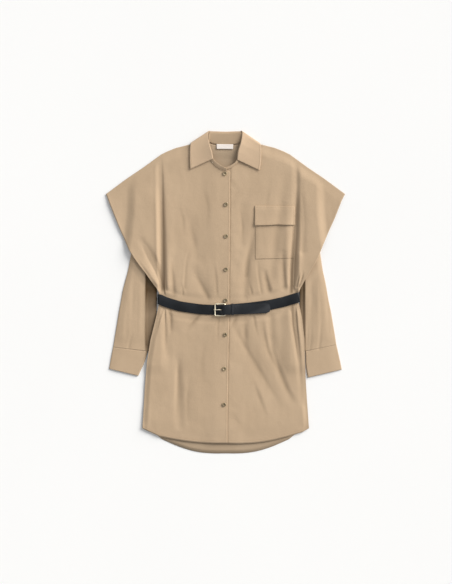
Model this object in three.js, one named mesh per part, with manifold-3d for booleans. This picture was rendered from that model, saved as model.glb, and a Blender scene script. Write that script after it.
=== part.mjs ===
import * as THREE from 'three'
import { mergeVertices } from 'three/addons/utils/BufferGeometryUtils.js'
import Module from 'manifold-3d'

// A belted cotton shirt dress, buttoned up and laid flat on its back. Millimetres: +X is the wearer's
// left, +Y runs to the collar, +Z points up from the surface that the dress lies on. The origin is on
// that surface, under the middle of the dress.

const CLOTH = 1.2
const GAP = 0.3
const TRIM_GAP = 0.6
const LEAF_GAP = 0.9
const BACK_INSET = 1.5
const BODY_PUFF = 3.6
const WING_PUFF = 1.4
const NECK = { half: 52, low: 396, high: 406.5 }

const SLEEVE_FLAT = 2.7
const SLEEVE_PUFF = 2.8
const SLEEVE_SEAT = 1.8
const CUFF_PUFF = 1.4

const BELT_WIDTH = 27
const BELT_THICK = 2.0
const BELT_LIFT = 2.6
const PRONG_RADIUS = 1.1
const SIDE_LIFT = 3.2
const COLLAR_LIFT = 1.6

const BUTTON_RADIUS = 5.6
const BUTTON_THICK = 2.2
const OVERLAP_LIFT = 2.0
const OVERLAP_START = -44

const cotton = new THREE.MeshStandardMaterial({ color: 0xc2a683, roughness: 0.9, metalness: 0 })
const leather = new THREE.MeshStandardMaterial({ color: 0x24272a, roughness: 0.5, metalness: 0 })
const gold = new THREE.MeshStandardMaterial({ color: 0xd9c79c, roughness: 0.3, metalness: 1 })
const horn = new THREE.MeshStandardMaterial({ color: 0x9c8563, roughness: 0.4, metalness: 0 })
const satin = new THREE.MeshStandardMaterial({ color: 0xeae0d9, roughness: 0.6, metalness: 0 })

// Each front is a run of rows from the shoulder to the hem. A row goes from the neck or the front edge
// (in) over the fold beside the body (fold) to the wing's free edge or the side seam (out). Bow lifts
// the middle of the row towards the collar, and steps is how many rows of cloth lead to the next one.
const rightRows = [
  { inX: -52, inY: 410, foldX: -176, foldY: 373, outX: -323.2, outY: 264.5, bow: 1, steps: 1 },
  { inX: -54, inY: 392, foldX: -175, foldY: 352, outX: -317, outY: 248, bow: 3, steps: 1 },
  { inX: -48, inY: 372, foldX: -174, foldY: 325, outX: -306.5, outY: 221, bow: 2, steps: 1 },
  { inX: -36, inY: 352, foldX: -173, foldY: 298, outX: -295.5, outY: 194, bow: 1, steps: 1 },
  { inX: -18, inY: 337, foldX: -172, foldY: 270, outX: -284.5, outY: 167, bow: 0, steps: 1 },
  { inX: 13, inY: 324, foldX: -171, foldY: 240, outX: -272, outY: 140, bow: 0, steps: 1 },
  { inX: 12, inY: 290, foldX: -170, foldY: 205, outX: -260.5, outY: 113, bow: 0, steps: 1 },
  { inX: 12, inY: 240, foldX: -169, foldY: 165, outX: -247, outY: 91, bow: 0, steps: 1 },
  { inX: 12, inY: 190, foldX: -168, foldY: 125, outX: -231.5, outY: 70, bow: -1, steps: 1 },
  { inX: 11, inY: 140, foldX: -167, foldY: 88, outX: -216.5, outY: 51, bow: -3, steps: 1 },
  { inX: 11, inY: 90, foldX: -167, foldY: 55, outX: -201.5, outY: 30, bow: -5, steps: 2 },
  { inX: 10, inY: 35, foldX: -167, foldY: 22, outX: -187, outY: 11, bow: -8, steps: 2 },
  { inX: 10, inY: -34, foldX: -167, foldY: -9, outX: -179.5, outY: -2, bow: -11, steps: 2 },
  { inX: 10, inY: -63, foldX: -167, foldY: -39, outX: -180, outY: -34, bow: -10, steps: 2 },
  { inX: 9, inY: -100, foldX: -166, foldY: -78, outX: -189, outY: -74, bow: -6, steps: 1 },
  { inX: 8, inY: -150, foldX: -165, foldY: -135, outX: -203, outY: -130, bow: -3, steps: 1 },
  { inX: 7, inY: -210, foldX: -168, foldY: -195, outX: -212.5, outY: -190, bow: -3, steps: 1 },
  { inX: 6, inY: -280, foldX: -172, foldY: -262, outX: -218, outY: -255, bow: -4, steps: 1 },
  { inX: 5, inY: -345, foldX: -176, foldY: -325, outX: -221.5, outY: -315, bow: -5, steps: 1 },
  { inX: 5, inY: -409, foldX: -178, foldY: -390.5, outX: -224.6, outY: -368.7, bow: -6, steps: 1 },
]

const leftRows = [
  { inX: 52, inY: 410, foldX: 174, foldY: 371, outX: 323.2, outY: 264.5, bow: 2, steps: 1 },
  { inX: 54, inY: 392, foldX: 178, foldY: 348, outX: 314.5, outY: 248, bow: 3, steps: 1 },
  { inX: 47, inY: 372, foldX: 184, foldY: 322, outX: 304, outY: 221, bow: 2, steps: 1 },
  { inX: 34, inY: 352, foldX: 188, foldY: 295, outX: 293, outY: 194, bow: 1, steps: 1 },
  { inX: 12, inY: 337, foldX: 190, foldY: 268, outX: 280.5, outY: 167, bow: 0, steps: 1 },
  { inX: -20, inY: 326, foldX: 190, foldY: 240, outX: 269, outY: 140, bow: 0, steps: 1 },
  { inX: -20, inY: 290, foldX: 189, foldY: 205, outX: 258, outY: 113, bow: 0, steps: 1 },
  { inX: -20, inY: 240, foldX: 187, foldY: 165, outX: 249.5, outY: 91, bow: 0, steps: 1 },
  { inX: -20, inY: 190, foldX: 185, foldY: 125, outX: 237.5, outY: 70, bow: -1, steps: 1 },
  { inX: -20, inY: 140, foldX: 182, foldY: 88, outX: 226, outY: 51, bow: -2, steps: 1 },
  { inX: -20, inY: 90, foldX: 180, foldY: 55, outX: 213.5, outY: 30, bow: -4, steps: 2 },
  { inX: -20, inY: 35, foldX: 179, foldY: 22, outX: 203, outY: 11, bow: -6, steps: 2 },
  { inX: -20, inY: -35, foldX: 179.5, foldY: -9, outX: 197, outY: -2, bow: -8, steps: 2 },
  { inX: -20, inY: -63, foldX: 180, foldY: -31, outX: 197, outY: -26, bow: -7, steps: 2 },
  { inX: -20, inY: -100, foldX: 184, foldY: -70, outX: 206, outY: -66, bow: -5, steps: 1 },
  { inX: -20, inY: -150, foldX: 190, foldY: -130, outX: 213, outY: -126, bow: -3, steps: 1 },
  { inX: -20, inY: -210, foldX: 197, foldY: -190, outX: 214.7, outY: -186, bow: -3, steps: 1 },
  { inX: -20, inY: -280, foldX: 202, foldY: -258, outX: 217.5, outY: -252, bow: -4, steps: 1 },
  { inX: -20, inY: -345, foldX: 206, foldY: -318, outX: 221.5, outY: -312, bow: -8, steps: 1 },
  { inX: -20, inY: -408, foldX: 208, foldY: -378.5, outX: 225.5, outY: -368.3, bow: -13, steps: 1 },
]

// Folds of the fronts, each a path of points with the depth there (valleys below zero) and a width.
const folds = [
  { width: 9, path: [[-174, 350, -1.5], [-171, 240, -3], [-168, 120, -5], [-167, 8, -6]] },
  { width: 13, path: [[-152, 300, 0.5], [-150, 160, 1.8], [-151, 20, 2.4]] },
  { width: 9, path: [[-226, 138, -1], [-200, 90, -4], [-184, 60, -5], [-172, 8, -5]] },
  { width: 10, path: [[-222, 84, 1], [-205, 58, 2.4], [-185, 26, 2]] },
  { width: 12, path: [[-143, 90, -1], [-142, 0, -2.6]] },
  { width: 16, path: [[-94, 190, -1], [-77, 92, -1.6]] },
  { width: 13, path: [[-84, 60, -1.2], [-50, -4, -2]] },
  { width: 9, path: [[-147, -42, -2.4], [-147, -100, -1.2]] },
  { width: 9, path: [[-162, -66, -1.6], [-160, -168, -1.2]] },
  { width: 9, path: [[-80, -64, -3], [-106, -98, -1]] },
  { width: 8, path: [[-6, -68, -2.4], [-16, -98, -0.8]] },
  { width: 11, path: [[-130, -180, -0.8], [-126, -260, -2.4], [-124, -360, -1.4]] },
  { width: 26, path: [[-60, -130, 1], [-70, -330, 1.4]] },
  { width: 14, path: [[160, 310, -1], [150, 232, -2], [141, 189, -2], [135, 132, -2.4], [124, 38, -1.6]] },
  { width: 8, path: [[190, 262, -1], [189, 208, -3.4], [186, 150, -5], [182, 92, -6], [179, 4, -6]] },
  { width: 9, path: [[168, 240, 0.6], [166, 120, 1.8], [164, 20, 2]] },
  { width: 8, path: [[203, 210, 1], [199, 120, 2], [193, 12, 2.2]] },
  { width: 10, path: [[200, 290, -1], [207, 190, -2.6], [206, 110, -2]] },
  { width: 10, path: [[156, 104, -1.4], [159, 10, -2.6]] },
  { width: 11, path: [[75, 172, -1], [65, 103, -2.6], [58, 74, -2.8], [52, -14, -2.4]] },
  { width: 12, path: [[46, 228, -1], [46, 130, -1.2]] },
  { width: 9, path: [[106, 50, -1.4], [113, 4, -2.4]] },
  { width: 10, path: [[53, -70, -2], [53, -148, -0.8]] },
  { width: 10, path: [[122, -60, -2.2], [124, -168, -1]] },
  { width: 18, path: [[22, -76, -2], [80, -190, -2.4], [146, -306, -1]] },
  { width: 14, path: [[126, -130, -1.4], [150, -210, -2.4], [176, -290, -1]] },
  { width: 8, path: [[184, -34, -5], [190, -100, -4.4], [199, -175, -3.4], [208, -300, -1]] },
]

const sleeveRows = {
  right: [
    { outX: -238, outY: 284, creaseX: -201, inX: -192, inY: 290 },
    { outX: -238, outY: 246, creaseX: -204, inX: -191, inY: 250 },
    { outX: -240, outY: 205, creaseX: -207, inX: -190, inY: 210 },
    { outX: -246, outY: 150, creaseX: -211, inX: -189, inY: 150 },
    { outX: -255, outY: 101, creaseX: -214, inX: -188, inY: 95 },
    { outX: -263, outY: 59, creaseX: -216, inX: -186, inY: 50 },
    { outX: -270.5, outY: 30, creaseX: -216, inX: -186, inY: 22 },
    { outX: -277, outY: 5, creaseX: -216.5, inX: -186, inY: -3 },
    { outX: -282.5, outY: -25, creaseX: -216.5, inX: -186, inY: -32 },
    { outX: -287.8, outY: -54, creaseX: -216.5, inX: -187, inY: -62 },
    { outX: -293, outY: -86, creaseX: -217, inX: -189, inY: -94 },
    { outX: -298.4, outY: -119, creaseX: -217, inX: -193, inY: -126 },
    { outX: -303.3, outY: -149.5, creaseX: -216, inX: -209, inY: -161 },
  ],
  left: [
    { outX: 240, outY: 284, creaseX: 211, inX: 205, inY: 290 },
    { outX: 240, outY: 246, creaseX: 212, inX: 204, inY: 250 },
    { outX: 242, outY: 205, creaseX: 213, inX: 203, inY: 210 },
    { outX: 248, outY: 150, creaseX: 214, inX: 203, inY: 150 },
    { outX: 256, outY: 101, creaseX: 214.5, inX: 202, inY: 95 },
    { outX: 262.5, outY: 59, creaseX: 215, inX: 201.5, inY: 50 },
    { outX: 268.5, outY: 32, creaseX: 215, inX: 201, inY: 24 },
    { outX: 273.5, outY: 5, creaseX: 215, inX: 201, inY: -3 },
    { outX: 278.5, outY: -24, creaseX: 215, inX: 201, inY: -32 },
    { outX: 284.9, outY: -54, creaseX: 215.5, inX: 201, inY: -62 },
    { outX: 290.3, outY: -86, creaseX: 216, inX: 201.5, inY: -94 },
    { outX: 295.7, outY: -119, creaseX: 217, inX: 204, inY: -126 },
    { outX: 299.2, outY: -143, creaseX: 219, inX: 215.5, inY: -160.5 },
  ],
}

const cuffRows = {
  right: [
    { outX: -303.4, outY: -150.1, creaseX: -214, inX: -210.5, inY: -161.8 },
    { outX: -309, outY: -178, creaseX: -224, inX: -221, inY: -193 },
    { outX: -314, outY: -208, creaseX: -239, inX: -236.5, inY: -226.7 },
  ],
  left: [
    { outX: 299.4, outY: -143.6, creaseX: 218.5, inX: 216, inY: -161.2 },
    { outX: 307, outY: -176, creaseX: 220, inX: 217.5, inY: -196 },
    { outX: 314, outY: -209.7, creaseX: 225, inX: 222.8, inY: -231.3 },
  ],
}

// Section of a sleeve from its outer edge to the crease, and how high it stands there.
const sleeveSection = [
  { across: 0, high: 0 },
  { across: 0.05, high: 0.5 },
  { across: 0.16, high: 0.85 },
  { across: 0.4, high: 1 },
  { across: 0.7, high: 0.95 },
  { across: 0.94, high: 0.85 },
]

// The belt's middle line over the fronts: the long tail end from the left side, and the buckle end.
const tailRoute = [
  { x: -184, y: -17 },
  { x: -161, y: -27.7 },
  { x: -123, y: -39 },
  { x: -69, y: -46.8 },
  { x: -31, y: -48.6 },
  { x: 1, y: -48 },
  { x: 65, y: -46 },
  { x: 121, y: -43 },
]
const underRoute = [
  { x: 0, y: -48 },
  { x: 66, y: -42 },
  { x: 120, y: -35 },
  { x: 158, y: -26.5 },
  { x: 200, y: -13.5 },
]

const buckle = { left: -30.2, right: 0.8, low: -65.8, high: -30.4, corner: 5, bar: 1.9 }
const keeper = { left: 16, right: 21.4, thick: 1.0 }

// How far the belt's two ends stand off the fronts where they cross the buckle and the keeper.
const tailRise = [
  { x: -178.5, rise: 1.3 },
  { x: -155, rise: 0.4 },
  { x: -26, rise: 0.4 },
  { x: -24, rise: 0.6 },
  { x: -5, rise: 9.4 },
  { x: 0, rise: 9.5 },
  { x: 12, rise: 6.8 },
  { x: 15, rise: 6.1 },
  { x: 23, rise: 6.0 },
  { x: 46, rise: 2.9 },
  { x: 130, rise: 2.8 },
]
const underRise = [
  { x: 2, rise: 0.4 },
  { x: 12, rise: 1.5 },
  { x: 15, rise: 1.7 },
  { x: 23, rise: 1.7 },
  { x: 36, rise: 0.4 },
  { x: 165, rise: 0.4 },
  { x: 195.5, rise: 1.3 },
]
const tailTip = [
  { x: 100, half: 13.5 },
  { x: 110, half: 13.5 },
  { x: 116, half: 11.5 },
  { x: 119.5, half: 8.5 },
  { x: 121, half: 4 },
]

const buttonPlaces = [
  { name: 'button_1', x: 1.1, y: 236.4 },
  { name: 'button_2', x: 1.3, y: 150.5 },
  { name: 'button_3', x: 1.1, y: 60.6 },
  { name: 'button_4', x: 0, y: -23 },
  { name: 'button_5', x: -0.8, y: -115.4 },
  { name: 'button_6', x: -3.5, y: -207.5 },
  { name: 'button_7', x: -4, y: -304.2 },
]

const clamp = THREE.MathUtils.clamp
const lerp = THREE.MathUtils.lerp
const smooth = (t) => THREE.MathUtils.smoothstep(t, 0, 1)
const band = (distance, half, ramp) => smooth((half + ramp - Math.abs(distance)) / ramp)

// Value of one column of a table at a place in another column, read in a straight line between rows.
function readTable(table, key, at, column) {
  const rising = table[table.length - 1][key] > table[0][key]
  for (let i = 0; i < table.length - 1; i++) {
    const a = table[i]
    const b = table[i + 1]
    const last = i === table.length - 2
    const before = rising ? at <= b[key] : at >= b[key]
    if (before || last) {
      const t = clamp((at - a[key]) / (b[key] - a[key]), 0, 1)
      return lerp(a[column], b[column], t)
    }
  }
}

const rowsOf = (x) => (x < 0 ? rightRows : leftRows)
const sideOf = (x) => (x < 0 ? 'right' : 'left')
const edgeAt = (x, y) => Math.abs(readTable(rowsOf(x), 'outY', y, 'outX'))

function shoulderAt(x) {
  const [top] = rowsOf(x)
  const distance = Math.abs(x)
  const fold = Math.abs(top.foldX)
  if (distance < fold) return lerp(top.inY, top.foldY, clamp((distance - 52) / (fold - 52), 0, 1)) + 1
  return lerp(top.foldY, top.outY, (distance - fold) / (Math.abs(top.outX) - fold))
}

function beltMiddle(x) {
  return x < 60 ? readTable(tailRoute, 'x', x, 'y') : readTable(underRoute, 'x', x, 'y')
}

// Height of the back's underside: it lies on the surface, and over the belt, sleeves and collar there.
function backUnder(x, y) {
  const overBelt = BELT_LIFT * band(y - beltMiddle(x), BELT_WIDTH / 2 + 3, 18) * band(x, x < 0 ? 180 : 195, 7)
  const overSleeve = SIDE_LIFT * smooth((Math.abs(x) - 146) / 32) * band(y + 118, 76, 34)
  const overCollar = COLLAR_LIFT * smooth((y - 358) / 20) * band(x, 96, 26)
  return Math.max(overBelt, overSleeve, overCollar)
}

function foldDepth(x, y) {
  let total = 0
  for (const { width, path } of folds) {
    let best = Infinity
    let depth = 0
    for (let i = 0; i < path.length - 1; i++) {
      const [ax, ay, ad] = path[i]
      const [bx, by, bd] = path[i + 1]
      const length = (bx - ax) ** 2 + (by - ay) ** 2
      const t = clamp(((x - ax) * (bx - ax) + (y - ay) * (by - ay)) / length, 0, 1)
      const away = Math.hypot(x - lerp(ax, bx, t), y - lerp(ay, by, t))
      if (away < best) {
        best = away
        depth = lerp(ad, bd, t)
      }
    }
    total += depth * Math.exp(-((best / width) ** 2))
  }
  return total
}

// A sleeve's fullness, which runs out towards its head, inside the wing.
const sleevePuff = (y) => SLEEVE_PUFF * smooth((300 - y) / 70) + 0.2

// The part of a front that lies on a sleeve, inside the wing.
function sleeveLift(x, y) {
  const rows = sleeveRows[sideOf(x)]
  const inner = Math.abs(readTable(rows, 'inY', y, 'inX'))
  const outer = Math.abs(readTable(rows, 'outY', y, 'outX'))
  const distance = Math.abs(x)
  const inside = smooth((distance - inner + 14) / 13)
  const outside = smooth((outer + 30 - distance) / 27)
  return (SLEEVE_SEAT + SLEEVE_FLAT - CLOTH + sleevePuff(y)) * inside * outside * smooth((324 - y) / 26) * smooth((y + 12) / 18)
}

function frontPuff(x, y) {
  const distance = Math.abs(x)
  const wing = smooth((distance - 176) / 20) * smooth((y - 10) / 20)
  const seam = lerp(smooth((edgeAt(x, y) - distance) / 24), 1, smooth(y / 40))
  const shoulder = smooth((shoulderAt(x) - y) / 34)
  const belt = 1 - 0.92 * band(y - beltMiddle(x), BELT_WIDTH / 2 + 3, 26)
  const high = lerp(BODY_PUFF, WING_PUFF, wing) + foldDepth(x, y)
  return Math.max(0, high) * seam * shoulder * belt
}

const frontUnder = (x, y) => backUnder(x, y) + CLOTH + GAP + sleeveLift(x, y) + frontPuff(x, y)
const overlapLift = (x) => OVERLAP_LIFT * smooth((x - OVERLAP_START) / 14)

// A closed wall of even thickness on one side of a net of points, turned so that its faces point out.
function wallOf(net, thickness, up = 1) {
  const rows = net.length
  const columns = net[0].length
  const at = (i, j) => net[clamp(i, 0, rows - 1)][clamp(j, 0, columns - 1)]
  const lower = []
  const upper = []
  for (let i = 0; i < rows; i++) {
    for (let j = 0; j < columns; j++) {
      const down = at(i + 1, j).clone().sub(at(i - 1, j))
      const across = at(i, j + 1).clone().sub(at(i, j - 1))
      const normal = down.cross(across).normalize().multiplyScalar(up * thickness)
      lower.push(at(i, j))
      upper.push(at(i, j).clone().add(normal))
    }
  }
  const count = rows * columns
  const faces = []
  const quad = (a, b, c, d) => faces.push(a, b, c, a, c, d)
  for (let i = 0; i < rows - 1; i++) {
    for (let j = 0; j < columns - 1; j++) {
      const a = i * columns + j
      quad(a, a + columns, a + columns + 1, a + 1)
      quad(count + a, count + a + 1, count + a + columns + 1, count + a + columns)
    }
  }
  const rim = []
  for (let j = 0; j < columns - 1; j++) rim.push(j)
  for (let i = 0; i < rows - 1; i++) rim.push(i * columns + columns - 1)
  for (let j = columns - 1; j > 0; j--) rim.push((rows - 1) * columns + j)
  for (let i = rows - 1; i > 0; i--) rim.push(i * columns)
  rim.forEach((a, k) => {
    const b = rim[(k + 1) % rim.length]
    quad(a, b, count + b, count + a)
  })
  return closedGeometry([...lower, ...upper], faces)
}

function closedGeometry(points, faces) {
  let volume = 0
  for (let k = 0; k < faces.length; k += 3) {
    const [a, b, c] = [points[faces[k]], points[faces[k + 1]], points[faces[k + 2]]]
    volume += a.dot(b.clone().cross(c))
  }
  const outward = volume > 0 ? faces : faces.slice().reverse()
  const geometry = new THREE.BufferGeometry()
  geometry.setAttribute('position', new THREE.Float32BufferAttribute(points.flatMap((p) => p.toArray()), 3))
  geometry.setIndex(outward)
  geometry.computeVertexNormals()
  return geometry
}

const garment = new THREE.Group()

function add(name, geometry, material) {
  const mesh = new THREE.Mesh(geometry, material)
  mesh.name = name
  mesh.material = material.clone()
  mesh.material.side = THREE.DoubleSide
  garment.add(mesh)
  return mesh
}

// Height of the highest of some pieces at a place, looking down.
const looker = new THREE.Raycaster()
function topOf(meshes, x, y) {
  looker.set(new THREE.Vector3(x, y, 100), new THREE.Vector3(0, 0, -1))
  const [hit] = looker.intersectObjects(meshes, false)
  return hit ? hit.point.z : 0
}

// The highest point of some pieces within a round place.
function highest(meshes, x, y, radius) {
  let top = topOf(meshes, x, y)
  for (let k = 0; k < 8; k++) {
    const angle = (k * Math.PI) / 4
    top = Math.max(top, topOf(meshes, x + radius * Math.cos(angle), y + radius * Math.sin(angle)))
  }
  return top
}

// All the rows of cloth between the rows of a table.
function spreadRows(table) {
  const rows = []
  table.slice(0, -1).forEach((row, i) => {
    for (let s = 0; s < row.steps; s++) {
      const t = s / row.steps
      const between = {}
      for (const key of Object.keys(row)) between[key] = lerp(row[key], table[i + 1][key], t)
      rows.push(between)
    }
  })
  rows.push(table[table.length - 1])
  return rows
}

const towardsFold = (count) => Array.from({ length: count + 1 }, (_, k) => 1 - (1 - k / count) ** 1.35)
const fromFold = (count) => Array.from({ length: count }, (_, k) => ((k + 1) / count) ** 1.35)

// The places across one row of a front, from its inner end to its outer end.
function acrossRow(row, bodyColumns, wingColumns) {
  const places = towardsFold(bodyColumns).map((t) => {
    const y = lerp(row.inY, row.foldY, t) + row.bow * Math.sin(Math.PI * t)
    return [lerp(row.inX, row.foldX, t), y]
  })
  for (const t of fromFold(wingColumns)) {
    places.push([lerp(row.foldX, row.outX, t), lerp(row.foldY, row.outY, t)])
  }
  return places
}

function makeFront(name, table, lift) {
  const net = spreadRows(table).map((row) =>
    acrossRow(row, 14, 6).map(([x, y]) => new THREE.Vector3(x, y, frontUnder(x, y) + lift(x))))
  return add(name, wallOf(net, CLOTH, table === rightRows ? -1 : 1), cotton)
}

// The back has the fronts' outline, a little inside it, with its own neck and a longer hem.
function backRow(rows, side, v) {
  const [first, last] = [0, rows.length - 1]
  const row = { ...rows[v] }
  row.inX = 0
  row.outX -= side * BACK_INSET
  row.foldX -= side * BACK_INSET
  if (v === first) row.inY = 396
  if (v > first && v < 5) row.inY = lerp(396, 324, v / 5)
  if (v === last) {
    Object.assign(row, { inY: -436.2, foldX: side * 172, foldY: -398, outX: side * 222, outY: -356, bow: -13 })
  }
  if (v === last - 1) Object.assign(row, { outY: row.outY + 6, foldY: row.foldY + 4 })
  return row
}

// The back's upper edge: its neckline, and then the shoulders, just inside the fronts'.
function backTop(x) {
  const t = Math.abs(x) / NECK.half
  return t < 1 ? lerp(NECK.low, NECK.high, t ** 4) : shoulderAt(x) - 3 * BACK_INSET
}

function makeBack() {
  const right = spreadRows(rightRows)
  const left = spreadRows(leftRows)
  const net = right.map((_, v) => {
    const wearerRight = acrossRow(backRow(right, -1, v), 7, 4).reverse()
    const wearerLeft = acrossRow(backRow(left, 1, v), 7, 4).slice(1)
    return [...wearerRight, ...wearerLeft].map(([x, y]) => {
      const placeY = v === 0 ? backTop(x) : y
      return new THREE.Vector3(x, placeY, backUnder(x, placeY))
    })
  })
  return add('back', wallOf(net, CLOTH), cotton)
}

// A sleeve or cuff pressed flat: a tube with its two layers just apart, puffed between its outer edge
// and the crease.
function makeTube(name, rows, underAt, puffAt) {
  const ringAt = (row, inset) => {
    const width = Math.abs(row.inX - row.outX)
    const crease = (row.creaseX - row.outX) / (row.inX - row.outX)
    const places = [...sleeveSection.map(({ across, high }) => ({ t: across * crease, high })),
      { t: crease, high: 0 }, { t: 1, high: 0 }]
    const start = inset / width
    const low = []
    const high = []
    for (const place of places) {
      const t = clamp(place.t, start, 1 - start)
      const x = lerp(row.outX, row.inX, t)
      const y = lerp(row.outY, row.inY, t)
      const floor = underAt(x, y)
      low.push(new THREE.Vector3(x, y, floor + inset))
      high.push(new THREE.Vector3(x, y, floor + SLEEVE_FLAT + puffAt(y) * place.high - inset))
    }
    return [...low, ...high.reverse()]
  }
  const outer = rows.map((row) => ringAt(row, 0))
  const inner = rows.map((row) => ringAt(row, CLOTH))
  const size = outer[0].length
  const points = [...outer.flat(), ...inner.flat()]
  const hidden = rows.length * size
  const faces = []
  const quad = (a, b, c, d) => faces.push(a, b, c, a, c, d)
  for (let k = 0; k < size; k++) {
    const next = (k + 1) % size
    for (let i = 0; i < rows.length - 1; i++) {
      const a = i * size
      quad(a + k, a + next, a + size + next, a + size + k)
      quad(hidden + a + k, hidden + a + size + k, hidden + a + size + next, hidden + a + next)
    }
    const end = (rows.length - 1) * size
    quad(k, hidden + k, hidden + next, next)
    quad(end + k, end + next, hidden + end + next, hidden + end + k)
  }
  return add(name, closedGeometry(points, faces), cotton)
}

// A sleeve lies on the back inside the wing, and on the surface beside the skirt.
function sleeveUnder(x, y) {
  const insideWing = edgeAt(x, y) - Math.abs(x)
  return SLEEVE_SEAT * smooth((insideWing + 30) / 22) * smooth((y + 26) / 34)
}

const back = makeBack()
const frontLeft = makeFront('front_left', leftRows, () => 0)
const frontRight = makeFront('front_right', rightRows, overlapLift)
const fronts = [frontRight, frontLeft]
for (const side of ['right', 'left']) {
  makeTube(`sleeve_${side}`, sleeveRows[side], sleeveUnder, (y) => sleevePuff(y) - 0.2)
  makeTube(`cuff_${side}`, cuffRows[side], () => 0, () => CUFF_PUFF)
}

// The collar stand's net runs round the neck from one front end to the other, from its lower edge on
// the neckline to the top edge, where the collar folds over.
const standRows = [
  { lowX: 3, lowY: 325, topX: 4, topY: 333.5, lift: 4.2 },
  { lowX: -9, lowY: 329.5, topX: -7, topY: 337.5, lift: 4.0 },
  { lowX: -22, lowY: 336, topX: -18, topY: 345, lift: 3.0 },
  { lowX: -37, lowY: 350, topX: -32, topY: 358, lift: 3.4 },
  { lowX: -48.5, lowY: 371, topX: -36, topY: 378, lift: 4.2 },
  { lowX: -54.5, lowY: 392, topX: -42, topY: 398, lift: 4.2 },
  { lowX: -49, lowY: 405, topX: -44.5, topY: 418, low: 3.2, top: 8.2 },
  { lowX: -42, lowY: 403.5, topX: -43, topY: 430, low: 2.0, top: 5.4 },
  { lowX: -26, lowY: 398.8, topX: -28, topY: 431.2, low: 1.7, top: 2.8 },
  { lowX: 0, lowY: 396.6, topX: 0, topY: 430, low: 1.7, top: 2.4 },
  { lowX: 26, lowY: 398.8, topX: 28, topY: 431.2, low: 1.7, top: 2.8 },
  { lowX: 42, lowY: 403.5, topX: 42, topY: 430, low: 2.0, top: 5.4 },
  { lowX: 49, lowY: 405, topX: 43, topY: 418, low: 3.2, top: 8.2 },
  { lowX: 54.5, lowY: 392, topX: 39, topY: 399, lift: 4.2 },
  { lowX: 47.5, lowY: 371, topX: 32, topY: 378, lift: 4.2 },
  { lowX: 34.5, lowY: 350, topX: 30, topY: 356, lift: 3.0 },
  { lowX: 15, lowY: 335, topX: 16, topY: 343, lift: 1.6 },
  { lowX: -6, lowY: 328, topX: -4, topY: 335, lift: 0.9 },
]
// The collar leaf's net, a row for each line from the fold over the stand to the leaf's free edge. The
// ends lie on the fronts, and between them the leaf turns under the shoulders and lies on the surface.
const leafRows = [
  { foldX: -33.5, foldY: 359.5, edgeX: -95.3, edgeY: 331.4, lift: 1.0, fold: 13.6 },
  { foldX: -37.5, foldY: 379, edgeX: -96.2, edgeY: 353, lift: 0.9, fold: 15 },
  { foldX: -43.5, foldY: 399, edgeX: -96.4, edgeY: 375, lift: 0.9, fold: 14 },
  { foldX: -46.5, foldY: 417, edgeX: -95.9, edgeY: 391, lift: 0.9, fold: 10.8 },
  { foldX: -46.5, foldY: 431, edgeX: -94.5, edgeY: 400, fold: 7.0, edge: 5.8 },
  { foldX: -44.5, foldY: 435.2, edgeX: -92.5, edgeY: 403.2, fold: 5.4, edge: 3.9 },
  { foldX: -41, foldY: 434.6, edgeX: -87, edgeY: 399, fold: 2.8, edge: 1.25 },
  { foldX: -28, foldY: 434.4, edgeX: -50, edgeY: 387, fold: 1.9, edge: 1.25 },
  { foldX: 0, foldY: 433.5, edgeX: 0, edgeY: 384, fold: 1.8, edge: 1.25 },
  { foldX: 28, foldY: 434.4, edgeX: 50, edgeY: 387, fold: 1.9, edge: 1.25 },
  { foldX: 40, foldY: 434.6, edgeX: 87, edgeY: 398, fold: 2.8, edge: 1.25 },
  { foldX: 43.5, foldY: 435.4, edgeX: 92.5, edgeY: 402, fold: 5.4, edge: 3.9 },
  { foldX: 45, foldY: 430, edgeX: 94.2, edgeY: 398, fold: 7.0, edge: 5.8 },
  { foldX: 44, foldY: 417, edgeX: 95.8, edgeY: 390, lift: 0.9, fold: 10.8 },
  { foldX: 40.5, foldY: 400, edgeX: 96.4, edgeY: 374, lift: 0.9, fold: 14 },
  { foldX: 34, foldY: 379, edgeX: 95.6, edgeY: 350, lift: 0.9, fold: 14.6 },
  { foldX: 31.5, foldY: 356.5, edgeX: 92, edgeY: 328, lift: 1.0, fold: 12.6 },
]

const standSeat = (row) => topOf(fronts, row.lowX, row.lowY) + TRIM_GAP + CLOTH

function makeStand() {
  const net = standRows.map((row) => {
    const low = row.low ?? standSeat(row)
    const top = row.top ?? standSeat(row) + row.lift
    const places = [new THREE.Vector3(row.lowX, row.lowY, low), new THREE.Vector3(row.topX, row.topY, top)]
    return [places[0], places[0].clone().lerp(places[1], 0.5), places[1]]
  })
  return add('collar_stand', wallOf(net, CLOTH), cotton)
}

function makeLeaf(stand) {
  const net = leafRows.map((row) => {
    const over = row.fold > 5
    const edgeZ = row.edge ?? topOf(fronts, row.edgeX, row.edgeY) + row.lift
    return [0, 0.06, 0.2, 0.45, 0.72, 1].map((t) => {
      const x = lerp(row.foldX, row.edgeX, t)
      const y = lerp(row.foldY, row.edgeY, t)
      const z = lerp(row.fold, edgeZ, t)
      const floor = over ? highest([...fronts, stand], x, y, 3) + LEAF_GAP : 0
      return new THREE.Vector3(x, y, Math.max(z, floor))
    })
  })
  return add('collar_leaf', wallOf(net, CLOTH), cotton)
}

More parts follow.
